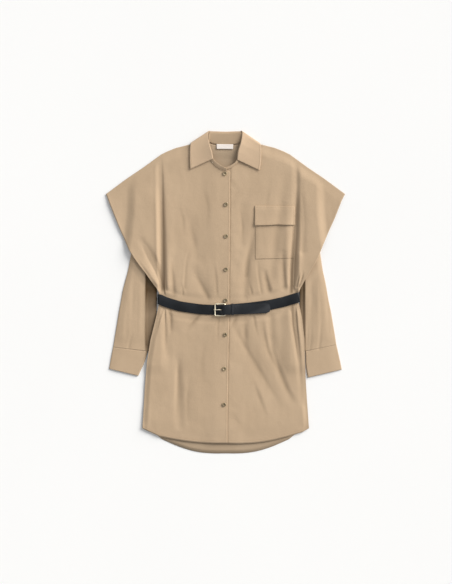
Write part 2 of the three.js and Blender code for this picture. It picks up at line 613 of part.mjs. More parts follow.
// A patch of cloth laid on others: a net over its outline, moved out from what it covers.
function makePatch(name, outline, columns, rows, thickness, on, gap, lift, material) {
  const net = []
  for (let i = 0; i <= rows; i++) {
    const v = i / rows
    const row = []
    for (let j = 0; j <= columns; j++) {
      const u = j / columns
      const left = [lerp(outline.topLeft[0], outline.lowLeft[0], v), lerp(outline.topLeft[1], outline.lowLeft[1], v)]
      const right = [lerp(outline.topRight[0], outline.lowRight[0], v), lerp(outline.topRight[1], outline.lowRight[1], v)]
      const x = lerp(left[0], right[0], u)
      const y = lerp(left[1], right[1], u)
      row.push(new THREE.Vector3(x, y, highest(on, x, y, 3) + gap + lift(u, v)))
    }
    net.push(row)
  }
  return add(name, wallOf(net, thickness), material)
}

const pocketOutline = {
  topLeft: [80.2, 221], topRight: [184.6, 220], lowLeft: [80.2, 88.2], lowRight: [184, 91.2],
}
const flapOutline = {
  topLeft: [79.2, 232.6], topRight: [187.6, 231], lowLeft: [79, 179.4], lowRight: [188.2, 181],
}
const labelOutline = {
  topLeft: [-24.3, 399.4], topRight: [20.8, 399], lowLeft: [-24, 386.4], lowRight: [20.6, 386],
}

// A round button with a raised rim and a dished middle.
function makeButton(name, x, y, z, tilt = 0) {
  const r = BUTTON_RADIUS
  const h = BUTTON_THICK
  const profile = [[0, 0], [r * 0.82, 0], [r, h * 0.35], [r, h * 0.7], [r * 0.88, h], [r * 0.72, h * 0.92],
    [r * 0.58, h * 0.62], [0, h * 0.58]]
  const geometry = new THREE.LatheGeometry(profile.map(([a, b]) => new THREE.Vector2(a, b)), 14)
  geometry.rotateX(Math.PI / 2)
  geometry.rotateX(tilt)
  geometry.translate(x, y, z)
  return add(name, mergedSolid(geometry), horn)
}

function mergedSolid(geometry) {
  const bare = geometry.index ? geometry.clone() : mergeVertices(geometry)
  bare.deleteAttribute('normal')
  bare.deleteAttribute('uv')
  const merged = mergeVertices(bare, 1e-3)
  const position = merged.attributes.position
  const points = Array.from({ length: position.count }, (_, k) => new THREE.Vector3().fromBufferAttribute(position, k))
  const faces = []
  for (let k = 0; k < merged.index.count; k += 3) {
    const [a, b, c] = [merged.index.getX(k), merged.index.getX(k + 1), merged.index.getX(k + 2)]
    if (a !== b && b !== c && c !== a) faces.push(a, b, c)
  }
  return closedGeometry(points, faces)
}

const stand = makeStand()
makeLeaf(stand)
makePatch('neck_label', labelOutline, 4, 2, 1.0, [back, stand], GAP, () => 0, satin)
const pocket = makePatch('pocket', pocketOutline, 12, 12, 1.0, fronts, TRIM_GAP, () => 0, cotton)
makePatch('pocket_flap', flapOutline, 12, 4, 1.2, [...fronts, pocket], TRIM_GAP, (u, v) => 1.2 * v ** 2, cotton)

for (const { name, x, y } of buttonPlaces) {
  makeButton(name, x, y, highest(fronts, x, y, BUTTON_RADIUS) + GAP)
}
makeButton('button_neck', -2, 319.5, highest(fronts, -2, 319.5, BUTTON_RADIUS) + GAP)

// The height that the belt lies on over the fronts.
function beltSeat(x) {
  let top = 0
  for (const dx of [-6, 0, 6]) {
    const at = clamp(x + dx, -178, 195)
    for (const dy of [-13, -6.5, 0, 6.5, 13]) top = Math.max(top, topOf(fronts, at, beltMiddle(at) + dy))
  }
  return top
}

const hinge = {
  x: buckle.right - buckle.bar,
  y: (buckle.low + buckle.high) / 2,
  z: beltSeat(0) + 0.4 + BELT_THICK + GAP + buckle.bar,
}
const wrapRadius = buckle.bar + GAP + BELT_THICK

// One length of leather: from the tail's tip over the fronts to the wearer's right side, round the back
// and up the left side, back to the buckle, and round the buckle's bar.
function beltStations() {
  const stations = []
  const put = (x, y, z, half = BELT_WIDTH / 2) => stations.push({ x, y, z, half })
  const tailPlaces = [121, 119.5, 116, 110, 98, 84, 70, 58, 46, 34, 23, 15, 7, 0, -5, -11, -17.5, -24, -27, -34]
  for (let x = -48; x > -172; x -= 13) tailPlaces.push(x)
  for (const x of tailPlaces) {
    const half = x > 100 ? readTable(tailTip, 'x', x, 'half') : BELT_WIDTH / 2
    put(x, readTable(tailRoute, 'x', x, 'y'), seatAlong(x) + readTable(tailRise, 'x', x, 'rise'), half)
  }
  turn(put, -178.5, -181.6, seatAlong(-177) + 1.3, 1)
  for (let x = -165; x < 190; x += 15) put(x, beltMiddle(x), BELT_THICK)
  turn(put, 195.5, 198.6, seatAlong(194) + 1.3, -1)
  for (const x of [184, 172, 158, 146, 133, 120, 106, 92, 78, 64, 50, 36, 23, 15, 8, 2]) {
    put(x, readTable(underRoute, 'x', x, 'y'), seatAlong(x) + readTable(underRise, 'x', x, 'rise'))
  }
  for (let k = 1; k < 8; k++) {
    const angle = -Math.PI / 2 - (k * Math.PI) / 8
    put(hinge.x + wrapRadius * Math.cos(angle), hinge.y, hinge.z + wrapRadius * Math.sin(angle))
  }
  put(hinge.x, hinge.y, hinge.z + wrapRadius)
  put(5.5, hinge.y, hinge.z + wrapRadius - 1.6)
  put(12, hinge.y, hinge.z + wrapRadius - 3.0)
  return stations
}

// The seat, eased so that the belt bridges the hollows.
function seatAlong(x) {
  let sum = 0
  const reach = [-16, -8, 0, 8, 16]
  for (const dx of reach) sum += beltSeat(clamp(x + dx, -178, 195))
  return Math.max(sum / reach.length, beltSeat(x))
}

// A half turn round the side of the body, from the fronts down to the surface or back up.
function turn(put, inX, outX, topZ, way) {
  const middleZ = (topZ + BELT_THICK) / 2
  const high = (topZ - BELT_THICK) / 2
  for (let k = 0; k <= 6; k++) {
    const angle = way * (Math.PI / 2 - (k * Math.PI) / 6)
    const x = inX + (outX - inX) * Math.cos(angle)
    const t = (1 - Math.sin(angle)) / 2
    put(x, lerp(beltMiddle(inX), beltMiddle(inX), t), middleZ + high * Math.sin(angle))
  }
}

async function makeBelt() {
  const stations = beltStations()
  const net = stations.map((station, k) => {
    const before = stations[Math.max(0, k - 1)]
    const after = stations[Math.min(stations.length - 1, k + 1)]
    const along = new THREE.Vector3(after.x - before.x, after.y - before.y, after.z - before.z).normalize()
    const across = new THREE.Vector3(0, 1, 0).addScaledVector(along, -along.y).normalize()
    return [-1, 0, 1].map((side) =>
      new THREE.Vector3(station.x, station.y, station.z).addScaledVector(across, side * station.half))
  })
  const wasm = await Module()
  wasm.setup()
  const solidOf = (geometry) => {
    const bare = mergedSolid(geometry)
    bare.deleteAttribute('normal')
    return new wasm.Manifold(new wasm.Mesh({
      numProp: 3,
      vertProperties: new Float32Array(bare.attributes.position.array),
      triVerts: new Uint32Array(bare.index.array),
    }))
  }
  const hole = new THREE.BoxGeometry(9.5, PRONG_RADIUS * 2 + 1.4, 16)
  hole.translate(-14.7, hinge.y, hinge.z)
  const notch = new THREE.CylinderGeometry(wrapRadius + 0.5, wrapRadius + 0.5, PRONG_RADIUS * 2 + 1.2, 16)
  notch.translate(hinge.x, hinge.y, hinge.z)
  const cut = solidOf(wallOf(net, BELT_THICK, -1)).subtract(solidOf(hole)).subtract(solidOf(notch))
  const { vertProperties, triVerts } = cut.getMesh()
  const points = []
  for (let k = 0; k < vertProperties.length; k += 3) {
    points.push(new THREE.Vector3(vertProperties[k], vertProperties[k + 1], Math.max(0, vertProperties[k + 2])))
  }
  return add('belt_strap', closedGeometry(points, Array.from(triVerts)), leather)
}

// A bar of round section bent into a closed loop in a level plane.
function loopBar(places, radius, sides) {
  const points = []
  places.forEach(({ x, y, z, nx, ny }) => {
    for (let k = 0; k < sides; k++) {
      const angle = (k * 2 * Math.PI) / sides
      const out = radius * Math.cos(angle)
      points.push(new THREE.Vector3(x + nx * out, y + ny * out, z + radius * Math.sin(angle)))
    }
  })
  const faces = []
  for (let i = 0; i < places.length; i++) {
    const next = (i + 1) % places.length
    for (let k = 0; k < sides; k++) {
      const side = (k + 1) % sides
      const [a, b, c, d] = [i * sides + k, next * sides + k, next * sides + side, i * sides + side]
      faces.push(a, b, c, a, c, d)
    }
  }
  return closedGeometry(points, faces)
}

function makeBuckle() {
  const { left, right, low, high, corner, bar } = buckle
  const places = []
  const corners = [
    { x: right - corner, y: high - corner, from: 0 },
    { x: left + corner, y: high - corner, from: 90 },
    { x: left + corner, y: low + corner, from: 180 },
    { x: right - corner, y: low + corner, from: 270 },
  ]
  for (const { x, y, from } of corners) {
    for (let k = 0; k <= 4; k++) {
      const angle = THREE.MathUtils.degToRad(from + k * 22.5)
      const [nx, ny] = [Math.cos(angle), Math.sin(angle)]
      places.push({ x: x + (corner - bar) * nx, y: y + (corner - bar) * ny, z: hinge.z, nx, ny })
    }
  }
  return add('buckle_frame', loopBar(places, bar, 8), gold)
}

function makeProng() {
  const ring = buckle.bar + GAP + PRONG_RADIUS
  const places = []
  for (const degrees of [100, 55, 10, -35, -80, -125, -160]) {
    const angle = THREE.MathUtils.degToRad(degrees)
    places.push(new THREE.Vector3(hinge.x + ring * Math.cos(angle), hinge.y, hinge.z + ring * Math.sin(angle)))
  }
  places.push(new THREE.Vector3(-9, hinge.y, hinge.z + 0.5))
  places.push(new THREE.Vector3(-18, hinge.y, hinge.z + 2.3))
  places.push(new THREE.Vector3(buckle.left + buckle.bar, hinge.y, hinge.z + ring))
  places.push(new THREE.Vector3(buckle.left - 1.4, hinge.y, hinge.z + ring - 0.6))
  const section = new THREE.Shape()
  section.absarc(0, 0, PRONG_RADIUS, 0, Math.PI * 2)
  const path = new THREE.CatmullRomCurve3(places)
  const options = { steps: 26, curveSegments: 4, bevelEnabled: false, extrudePath: path }
  return add('buckle_prong', mergedSolid(new THREE.ExtrudeGeometry(section, options)), gold)
}

// The loop that holds the tail down, a band round both lengths of the belt.
function makeKeeper() {
  const seat = seatAlong(18)
  const middle = (readTable(tailRoute, 'x', 18, 'y') + readTable(underRoute, 'x', 18, 'y')) / 2
  const half = BELT_WIDTH / 2 + 1.1
  const low = seat + GAP
  const high = seat + readTable(tailRise, 'x', 18, 'rise') + BELT_THICK + 1.2 + keeper.thick
  const outer = new THREE.Shape()
  outer.moveTo(-half - keeper.thick, low)
  outer.lineTo(half + keeper.thick, low)
  outer.lineTo(half + keeper.thick, high)
  outer.lineTo(-half - keeper.thick, high)
  outer.closePath()
  const inner = new THREE.Path()
  inner.moveTo(-half, low + keeper.thick)
  inner.lineTo(-half, high - keeper.thick)
  inner.lineTo(half, high - keeper.thick)
  inner.lineTo(half, low + keeper.thick)
  inner.closePath()
  outer.holes.push(inner)
  const geometry = new THREE.ExtrudeGeometry(outer, { depth: keeper.right - keeper.left, bevelEnabled: false })
  geometry.rotateX(Math.PI / 2)
  geometry.rotateZ(Math.PI / 2)
  geometry.translate(keeper.left, middle, 0)
  return add('belt_keeper', mergedSolid(geometry), leather)
}

await makeBelt()
makeBuckle()
makeProng()
makeKeeper()

export default garment
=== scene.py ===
# %% [markdown]
# # A belted shirt dress, laid flat on its back
#
# The dress is tan cotton poplin. It is buttoned up, belted, and laid on a pale table, and the camera
# looks straight down on it. This lesson dresses a plain solid model, the frame, with thin cloth shells,
# sewing, buttons and a leather belt. Every size in the tables is in millimetres, as a pattern cutter
# would write it, and is turned into metres where a mesh is made.

# %% Load the frame
import math

import bmesh
import bpy
from mathutils import Matrix, Vector, noise
from mathutils.bvhtree import BVHTree


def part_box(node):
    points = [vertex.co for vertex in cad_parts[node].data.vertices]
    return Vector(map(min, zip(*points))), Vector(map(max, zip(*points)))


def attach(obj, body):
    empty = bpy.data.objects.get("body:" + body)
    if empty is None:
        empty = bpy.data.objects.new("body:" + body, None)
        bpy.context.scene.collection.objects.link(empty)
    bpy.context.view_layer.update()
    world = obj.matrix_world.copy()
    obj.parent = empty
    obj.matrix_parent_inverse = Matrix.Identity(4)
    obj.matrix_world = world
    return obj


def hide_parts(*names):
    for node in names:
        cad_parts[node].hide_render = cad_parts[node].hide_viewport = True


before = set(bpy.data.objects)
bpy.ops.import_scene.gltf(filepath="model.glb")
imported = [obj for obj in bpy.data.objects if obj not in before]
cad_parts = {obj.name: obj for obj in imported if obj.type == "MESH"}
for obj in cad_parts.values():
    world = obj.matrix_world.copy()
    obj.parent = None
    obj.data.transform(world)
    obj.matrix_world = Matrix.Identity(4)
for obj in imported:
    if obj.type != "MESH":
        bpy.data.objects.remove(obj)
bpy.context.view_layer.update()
scene = bpy.context.scene
MM = 0.001
print("the frame has", len(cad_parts), "nodes")

# %% [markdown]
# ## Camera, light and floor
#
# The photo was taken from straight above with a long lens, so the camera hangs over the middle of the
# dress. It is 452 by 584 pixels, and one pixel is 2.7 mm on the table. The light is a big soft window at
# the upper right, made of a higher and a lower sun, with a bluish room around it. That gives the pale
# shadow at the lower left. The floor comes after the finishes.

# %% Camera
PIXEL = 2.7
IMAGE_HIGH = 584
MIDDLE_X, MIDDLE_Y = 225.5, 291.95
LENS = 100
SENSOR = 36

lens_data = bpy.data.cameras.new("camera")
lens_data.lens = LENS
lens_data.sensor_width = SENSOR
lens_data.clip_end = 50
camera = bpy.data.objects.new("camera", lens_data)
distance = IMAGE_HIGH * PIXEL * MM * LENS / SENSOR
camera.location = ((226 - MIDDLE_X) * PIXEL * MM, (MIDDLE_Y - 292) * PIXEL * MM, distance + 0.008)
scene.collection.objects.link(camera)
scene.camera = camera
scene.view_settings.view_transform = "Standard"
print("camera", round(distance, 3), "m above the table")


# %% Lights
def add_sun(name, azimuth, elevation, strength, angle, colour):
    """A far, even light from an azimuth, counted from +X towards +Y, and a height above the table."""
    light = bpy.data.lights.new(name, "SUN")
    light.energy = strength
    light.angle = math.radians(angle)
    light.color = colour
    lamp = bpy.data.objects.new(name, light)
    flat = math.cos(math.radians(elevation))
    towards = Vector(
        (
            flat * math.cos(math.radians(azimuth)),
            flat * math.sin(math.radians(azimuth)),
            math.sin(math.radians(elevation)),
        )
    )
    lamp.rotation_euler = towards.to_track_quat("Z", "Y").to_euler()
    scene.collection.objects.link(lamp)
    return lamp


add_sun("window", 38, 27, 3.2, 34, (1.0, 0.972, 0.935))
add_sun("window sill", 34, 14, 1.95, 52, (1.0, 0.972, 0.935))
world = bpy.data.worlds.new("room")
world.use_nodes = True
world.node_tree.nodes["Background"].inputs["Color"].default_value = (0.955, 0.977, 1.0, 1)
world.node_tree.nodes["Background"].inputs["Strength"].default_value = 0.51
scene.world = world
print("a window and a pale room")

# %% [markdown]
# ## Tables and curves
#
# A garment is drafted from a few sizes: how wide it is at each height, where it folds, how deep the
# folds are. These helpers read such tables. A spline passes smoothly through the rows of a table, and
# a smooth step blends one height into the next with no hard line.


# %% Small helpers
def lerp(a, b, t):
    return a + (b - a) * t


def clamp(value, low=0.0, high=1.0):
    return max(low, min(high, value))


def smooth(t):
    t = clamp(t)
    return t * t * (3 - 2 * t)


def band(away, half, ramp):
    return smooth((half + ramp - abs(away)) / ramp)


def table(header, *rows):
    names = header.split()
    return [dict(zip(names, row)) for row in rows]


def read(rows, key, at, column):
    """A column's value where another column has the value at, in a straight line between rows."""
    rising = rows[-1][key] > rows[0][key]
    for a, b in zip(rows, rows[1:]):
        before = at <= b[key] if rising else at >= b[key]
        if before or b is rows[-1]:
            t = clamp((at - a[key]) / (b[key] - a[key]))
            return lerp(a[column], b[column], t)


def spline(values, at):
    """A smooth curve through values, read between the first, at 0, and the last."""
    last = len(values) - 1
    i = min(int(at), last - 1)
    t = at - i
    a, b = values[i], values[i + 1]
    before = values[i - 1] if i else 2 * a - b
    after = values[i + 2] if i + 2 <= last else 2 * b - a
    bend = 2 * before - 5 * a + 4 * b - after
    twist = 3 * (a - b) + after - before
    return a + 0.5 * t * (b - before + t * (bend + t * twist))


def row_at(rows, v, straight=()):
    """A whole row between the rows of a table, for v from 0 to 1."""
    at = clamp(v) * (len(rows) - 1)
    i = min(int(at), len(rows) - 2)
    row = {}
    for key in rows[0]:
        if key in straight:
            row[key] = lerp(rows[i][key], rows[i + 1][key], at - i)
        else:
            row[key] = spline([r[key] for r in rows], at)
    return row


def spot(px, py):
    """The place on the table, in millimetres, under a pixel of the photo."""
    return (px - MIDDLE_X) * PIXEL, (MIDDLE_Y - py) * PIXEL


# %% [markdown]
# ## The cut of the fronts
#
# Each row of a table runs across one front: from the neck or the front edge (in), over the fold beside
# the body (fold), to the wing's free edge or the side seam (out). Bow bends the row's middle up. The
# wearer's right front, with negative x, is on the viewer's left and lies on top at the buttons.

# %% Rows of the two fronts
ROW = "in_x in_y fold_x fold_y out_x out_y bow"
RIGHT_ROWS = table(
    ROW,
    (-52, 410, -176, 373, -323.2, 264.5, 2),
    (-54, 392, -175, 352, -317, 248, 3),
    (-48, 372, -174, 325, -306.5, 221, 2),
    (-36, 352, -173, 298, -295.5, 194, 1),
    (-18, 337, -172, 270, -284.5, 167, 0),
    (13, 324, -171, 240, -272, 140, 0),
    (12, 290, -170, 205, -260.5, 113, 0),
    (12, 240, -169, 165, -247, 91, 0),
    (12, 190, -168, 125, -231.5, 70, -1),
    (11, 140, -167, 88, -216.5, 51, -3),
    (11, 90, -167, 55, -201.5, 30, -5),
    (10, 35, -167, 22, -187, 11, -8),
    (10, -34, -167, -9, -179.5, -2, -11),
    (10, -63, -167, -39, -180, -34, -10),
    (9, -100, -166, -78, -189, -74, -6),
    (8, -150, -165, -135, -203, -130, -3),
    (7, -210, -168, -195, -212.5, -190, -3),
    (6, -280, -172, -262, -218, -255, -4),
    (5, -345, -176, -325, -221.5, -315, -5),
    (5, -409, -178, -390.5, -224.6, -368.7, -6),
)
LEFT_ROWS = table(
    ROW,
    (52, 410, 174, 371, 323.2, 264.5, 2),
    (54, 392, 178, 348, 314.5, 248, 3),
    (47, 372, 184, 322, 304, 221, 2),
    (34, 352, 188, 295, 293, 194, 1),
    (12, 337, 190, 268, 280.5, 167, 0),
    (-20, 326, 190, 240, 269, 140, 0),
    (-20, 290, 189, 205, 258, 113, 0),
    (-20, 240, 187, 165, 249.5, 91, 0),
    (-20, 190, 185, 125, 237.5, 70, -1),
    (-20, 140, 182, 88, 226, 51, -2),
    (-20, 90, 180, 55, 213.5, 30, -4),
    (-20, 35, 179, 22, 203, 11, -6),
    (-20, -35, 179.5, -9, 197, -2, -8),
    (-20, -63, 180, -31, 197, -26, -7),
    (-20, -100, 184, -70, 206, -66, -5),
    (-20, -150, 190, -130, 213, -126, -3),
    (-20, -210, 197, -190, 214.7, -186, -3),
    (-20, -280, 202, -258, 217.5, -252, -4),
    (-20, -345, 206, -318, 221.5, -312, -8),
    (-20, -408, 208, -378.5, 225.5, -368.3, -13),
)
SHOULDER = table(
    "x y",
    (52, 407),
    (94, 399),
    (133, 389.5),
    (157, 380),
    (174, 371.5),
    (222, 336.5),
    (268, 305.5),
    (323.2, 264.5),
)
BODY_SHARE = 0.74


def rows_of(x):
    return RIGHT_ROWS if x < 0 else LEFT_ROWS


def across(row, u):
    """The place on a row, from its inner end at u 0 to its outer end at u 1."""
    if u < BODY_SHARE:
        t = 1 - (1 - u / BODY_SHARE) ** 1.15
        y = lerp(row["in_y"], row["fold_y"], t) + row["bow"] * math.sin(math.pi * t)
        return lerp(row["in_x"], row["fold_x"], t), y
    t = (u - BODY_SHARE) / (1 - BODY_SHARE)
    return lerp(row["fold_x"], row["out_x"], t), lerp(row["fold_y"], row["out_y"], t)


def front_place(rows, u, v):
    x, y = across(row_at(rows, v, ("in_x", "in_y", "out_x", "out_y")), u)
    top_share = smooth(1 - v * 9)
    if top_share > 0:
        top_x, top_y = across(rows[0], u)
        y += top_share * (read(SHOULDER, "x", abs(top_x), "y") - top_y)
    return x, y


print("fronts reach from", LEFT_ROWS[0]["out_x"], "to", RIGHT_ROWS[0]["out_x"], "mm")

# %% [markdown]
# ## The lie of the cloth
#
# Cloth laid flat is never flat: it swells a few millimetres over the air under it, sinks at the belt
# and at the seams, and rises over the sleeves and the belt's back run. These functions give its height
# at any place. They follow the solid model's closely, so that the shells stay on the frame, and blend a
# little more softly at the overlap, the side seams and the ends of the sleeves.

# %% Thicknesses and heights
CLOTH = 1.2
SHELL = 0.9
CUFF_WALL = 1.1
GAP = 0.3
BODY_PUFF = 3.6
WING_PUFF = 1.4
SLEEVE_FLAT = 2.7
SLEEVE_PUFF = 2.8
SLEEVE_SEAT = 1.8
CUFF_PUFF = 1.4
SLEEVE_CLEAR = 0.2
BELT_HOLD = 0.92
BELT_WIDTH = 27
BELT_LIFT = 2.6
SIDE_LIFT = 3.2
COLLAR_LIFT = 1.6
OVERLAP = {"start": -70, "ease": 48, "lift": 2.0}
SEAM_EASE = 16

TAIL_ROUTE = table(
    "x y",
    (-184, -17),
    (-161, -27.7),
    (-123, -39),
    (-69, -46.8),
    (-31, -48.6),
    (1, -48),
    (65, -46),
    (121, -43),
)
UNDER_ROUTE = table("x y", (0, -48), (66, -42), (120, -35), (158, -26.5), (200, -13.5))

SLEEVE_ROW = "out_x out_y crease_x in_x in_y"
SLEEVES = {
    "right": table(
        SLEEVE_ROW,
        (-238, 284, -201, -192, 290),
        (-238, 246, -204, -191, 250),
        (-240, 205, -207, -190, 210),
        (-246, 150, -211, -189, 150),
        (-255, 101, -214, -188, 95),
        (-263, 59, -216, -186, 50),
        (-270.5, 30, -216, -186, 22),
        (-277, 5, -216.5, -186, -3),
        (-282.5, -25, -216.5, -186, -32),
        (-287.8, -54, -216.5, -187, -62),
        (-293, -86, -217, -189, -94),
        (-298.4, -119, -217, -193, -126),
        (-303.3, -149.5, -216, -209, -161),
    ),
    "left": table(
        SLEEVE_ROW,
        (240, 284, 211, 205, 290),
        (240, 246, 212, 204, 250),
        (242, 205, 213, 203, 210),
        (248, 150, 214, 203, 150),
        (256, 101, 214.5, 202, 95),
        (262.5, 59, 215, 201.5, 50),
        (268.5, 32, 215, 201, 24),
        (273.5, 5, 215, 201, -3),
        (278.5, -24, 215, 201, -32),
        (284.9, -54, 215.5, 201, -62),
        (290.3, -86, 216, 201.5, -94),
        (295.7, -119, 217, 204, -126),
        (299.2, -143, 219, 215.5, -160.5),
    ),
}


def belt_middle(x):
    return read(TAIL_ROUTE if x < 60 else UNDER_ROUTE, "x", x, "y")


def edge_at(x, y):
    return abs(read(rows_of(x), "out_y", y, "out_x"))


def back_under(x, y):
    """Height of the back's underside, over the belt, the sleeves and the collar."""
    on_belt = band(y - belt_middle(x), BELT_WIDTH / 2 + 3, 18) * band(x, 180 if x < 0 else 195, 7)
    on_sleeve = smooth((abs(x) - 146) / 32) * band(y + 118, 76, 34)
    on_collar = smooth((y - 358) / 20) * band(x, 96, 26)
    return max(BELT_LIFT * on_belt, SIDE_LIFT * on_sleeve, COLLAR_LIFT * on_collar)


def sleeve_puff(y):
    """A sleeve's fullness, which runs out at its head, inside the wing, and at the cuff."""
    return lerp(CUFF_PUFF, SLEEVE_PUFF, smooth((y + 146) / 34)) * smooth((300 - y) / 70)


def sleeve_lift(x, y):
    """How far a front rises over the sleeve inside its wing."""
    rows = SLEEVES["right" if x < 0 else "left"]
    inner = abs(read(rows, "in_y", y, "in_x"))
    outer = abs(read(rows, "out_y", y, "out_x"))
    inside = smooth((abs(x) - inner + 14) / 13) * smooth((outer + 30 - abs(x)) / 27)
    shoulder = read(SHOULDER, "x", abs(x), "y")
    length = smooth((shoulder - 2 - y) / 38) * smooth((y + 12) / 18)
    return (SLEEVE_SEAT + SLEEVE_FLAT - CLOTH + sleeve_puff(y) + SLEEVE_CLEAR) * inside * length


# %% [markdown]
# ## Folds and creases
#
# The photo shows each crease in its own place, with its own length and depth, so they are placed one by
# one. A fold is a path with a depth at each point. Its width says how far it spreads. Lean raises the
# cloth on one side of it and lowers it on the other, as where a fold lies over: a path drawn towards
# the hem with a positive lean is higher on the viewer's right.

# %% One fold
def crease(width, lean, *path):
    return {"width": width, "lean": lean, "path": path}


# %% Large folds, in the solid model's places, some of them softer at the top
LARGE_FOLDS = [
    crease(9, 0, (-174, 350, -0.5), (-171, 240, -1.6), (-168, 120, -3.8), (-167, 8, -6)),
    crease(13, 0, (-152, 300, 0.2), (-150, 160, 0.9), (-151, 20, 2.0)),
    crease(9, 0, (-226, 138, -1), (-200, 90, -4), (-184, 60, -5), (-172, 8, -5)),
    crease(10, 0, (-222, 84, 1), (-205, 58, 2.4), (-185, 26, 2)),
    crease(12, 0, (-143, 90, -1), (-142, 0, -2.6)),
    crease(16, 0, (-94, 190, -1), (-77, 92, -1.6)),
    crease(13, 0, (-84, 60, -1.2), (-50, -4, -2)),
    crease(9, 0, (-147, -42, -2.4), (-147, -100, -1.2)),
    crease(9, 0, (-162, -66, -1.6), (-160, -168, -1.2)),
    crease(9, 0, (-80, -64, -3), (-106, -98, -1)),
    crease(8, 0, (-6, -68, -2.4), (-16, -98, -0.8)),
    crease(11, 0, (-130, -180, -0.8), (-126, -260, -2.4), (-124, -360, -1.4)),
    crease(26, 0, (-60, -130, 1), (-70, -330, 1.4)),
    crease(14, 0, (160, 310, -1), (150, 232, -2), (141, 189, -2), (135, 132, -2.4), (124, 38, -1.6)),
    crease(8, 0, (190, 262, -0.4), (189, 208, -1.8), (186, 150, -3.6), (182, 92, -5.4), (179, 4, -6)),
    crease(9, 0, (168, 240, 0.6), (166, 120, 1.8), (164, 20, 2)),
    crease(8, 0, (203, 210, 1), (199, 120, 2), (193, 12, 2.2)),
    crease(10, 0, (200, 290, -1), (207, 190, -2.6), (206, 110, -2)),
    crease(10, 0, (156, 104, -1.4), (159, 10, -2.6)),
    crease(11, 0, (75, 172, -1), (65, 103, -2.6), (58, 74, -2.8), (52, -14, -2.4)),
    crease(12, 0, (46, 228, -1), (46, 130, -1.2)),
    crease(9, 0, (106, 50, -1.4), (113, 4, -2.4)),
    crease(10, 0, (53, -70, -2), (53, -148, -0.8)),
    crease(10, 0, (122, -60, -2.2), (124, -168, -1)),
    crease(18, 0, (22, -76, -1.5), (80, -190, -1.6), (146, -306, -0.7)),
    crease(14, 0, (126, -130, -1.2), (150, -210, -1.8), (176, -290, -0.8)),
    crease(8, 0, (184, -34, -5), (190, -100, -4.4), (199, -175, -3.4), (208, -300, -1)),
]

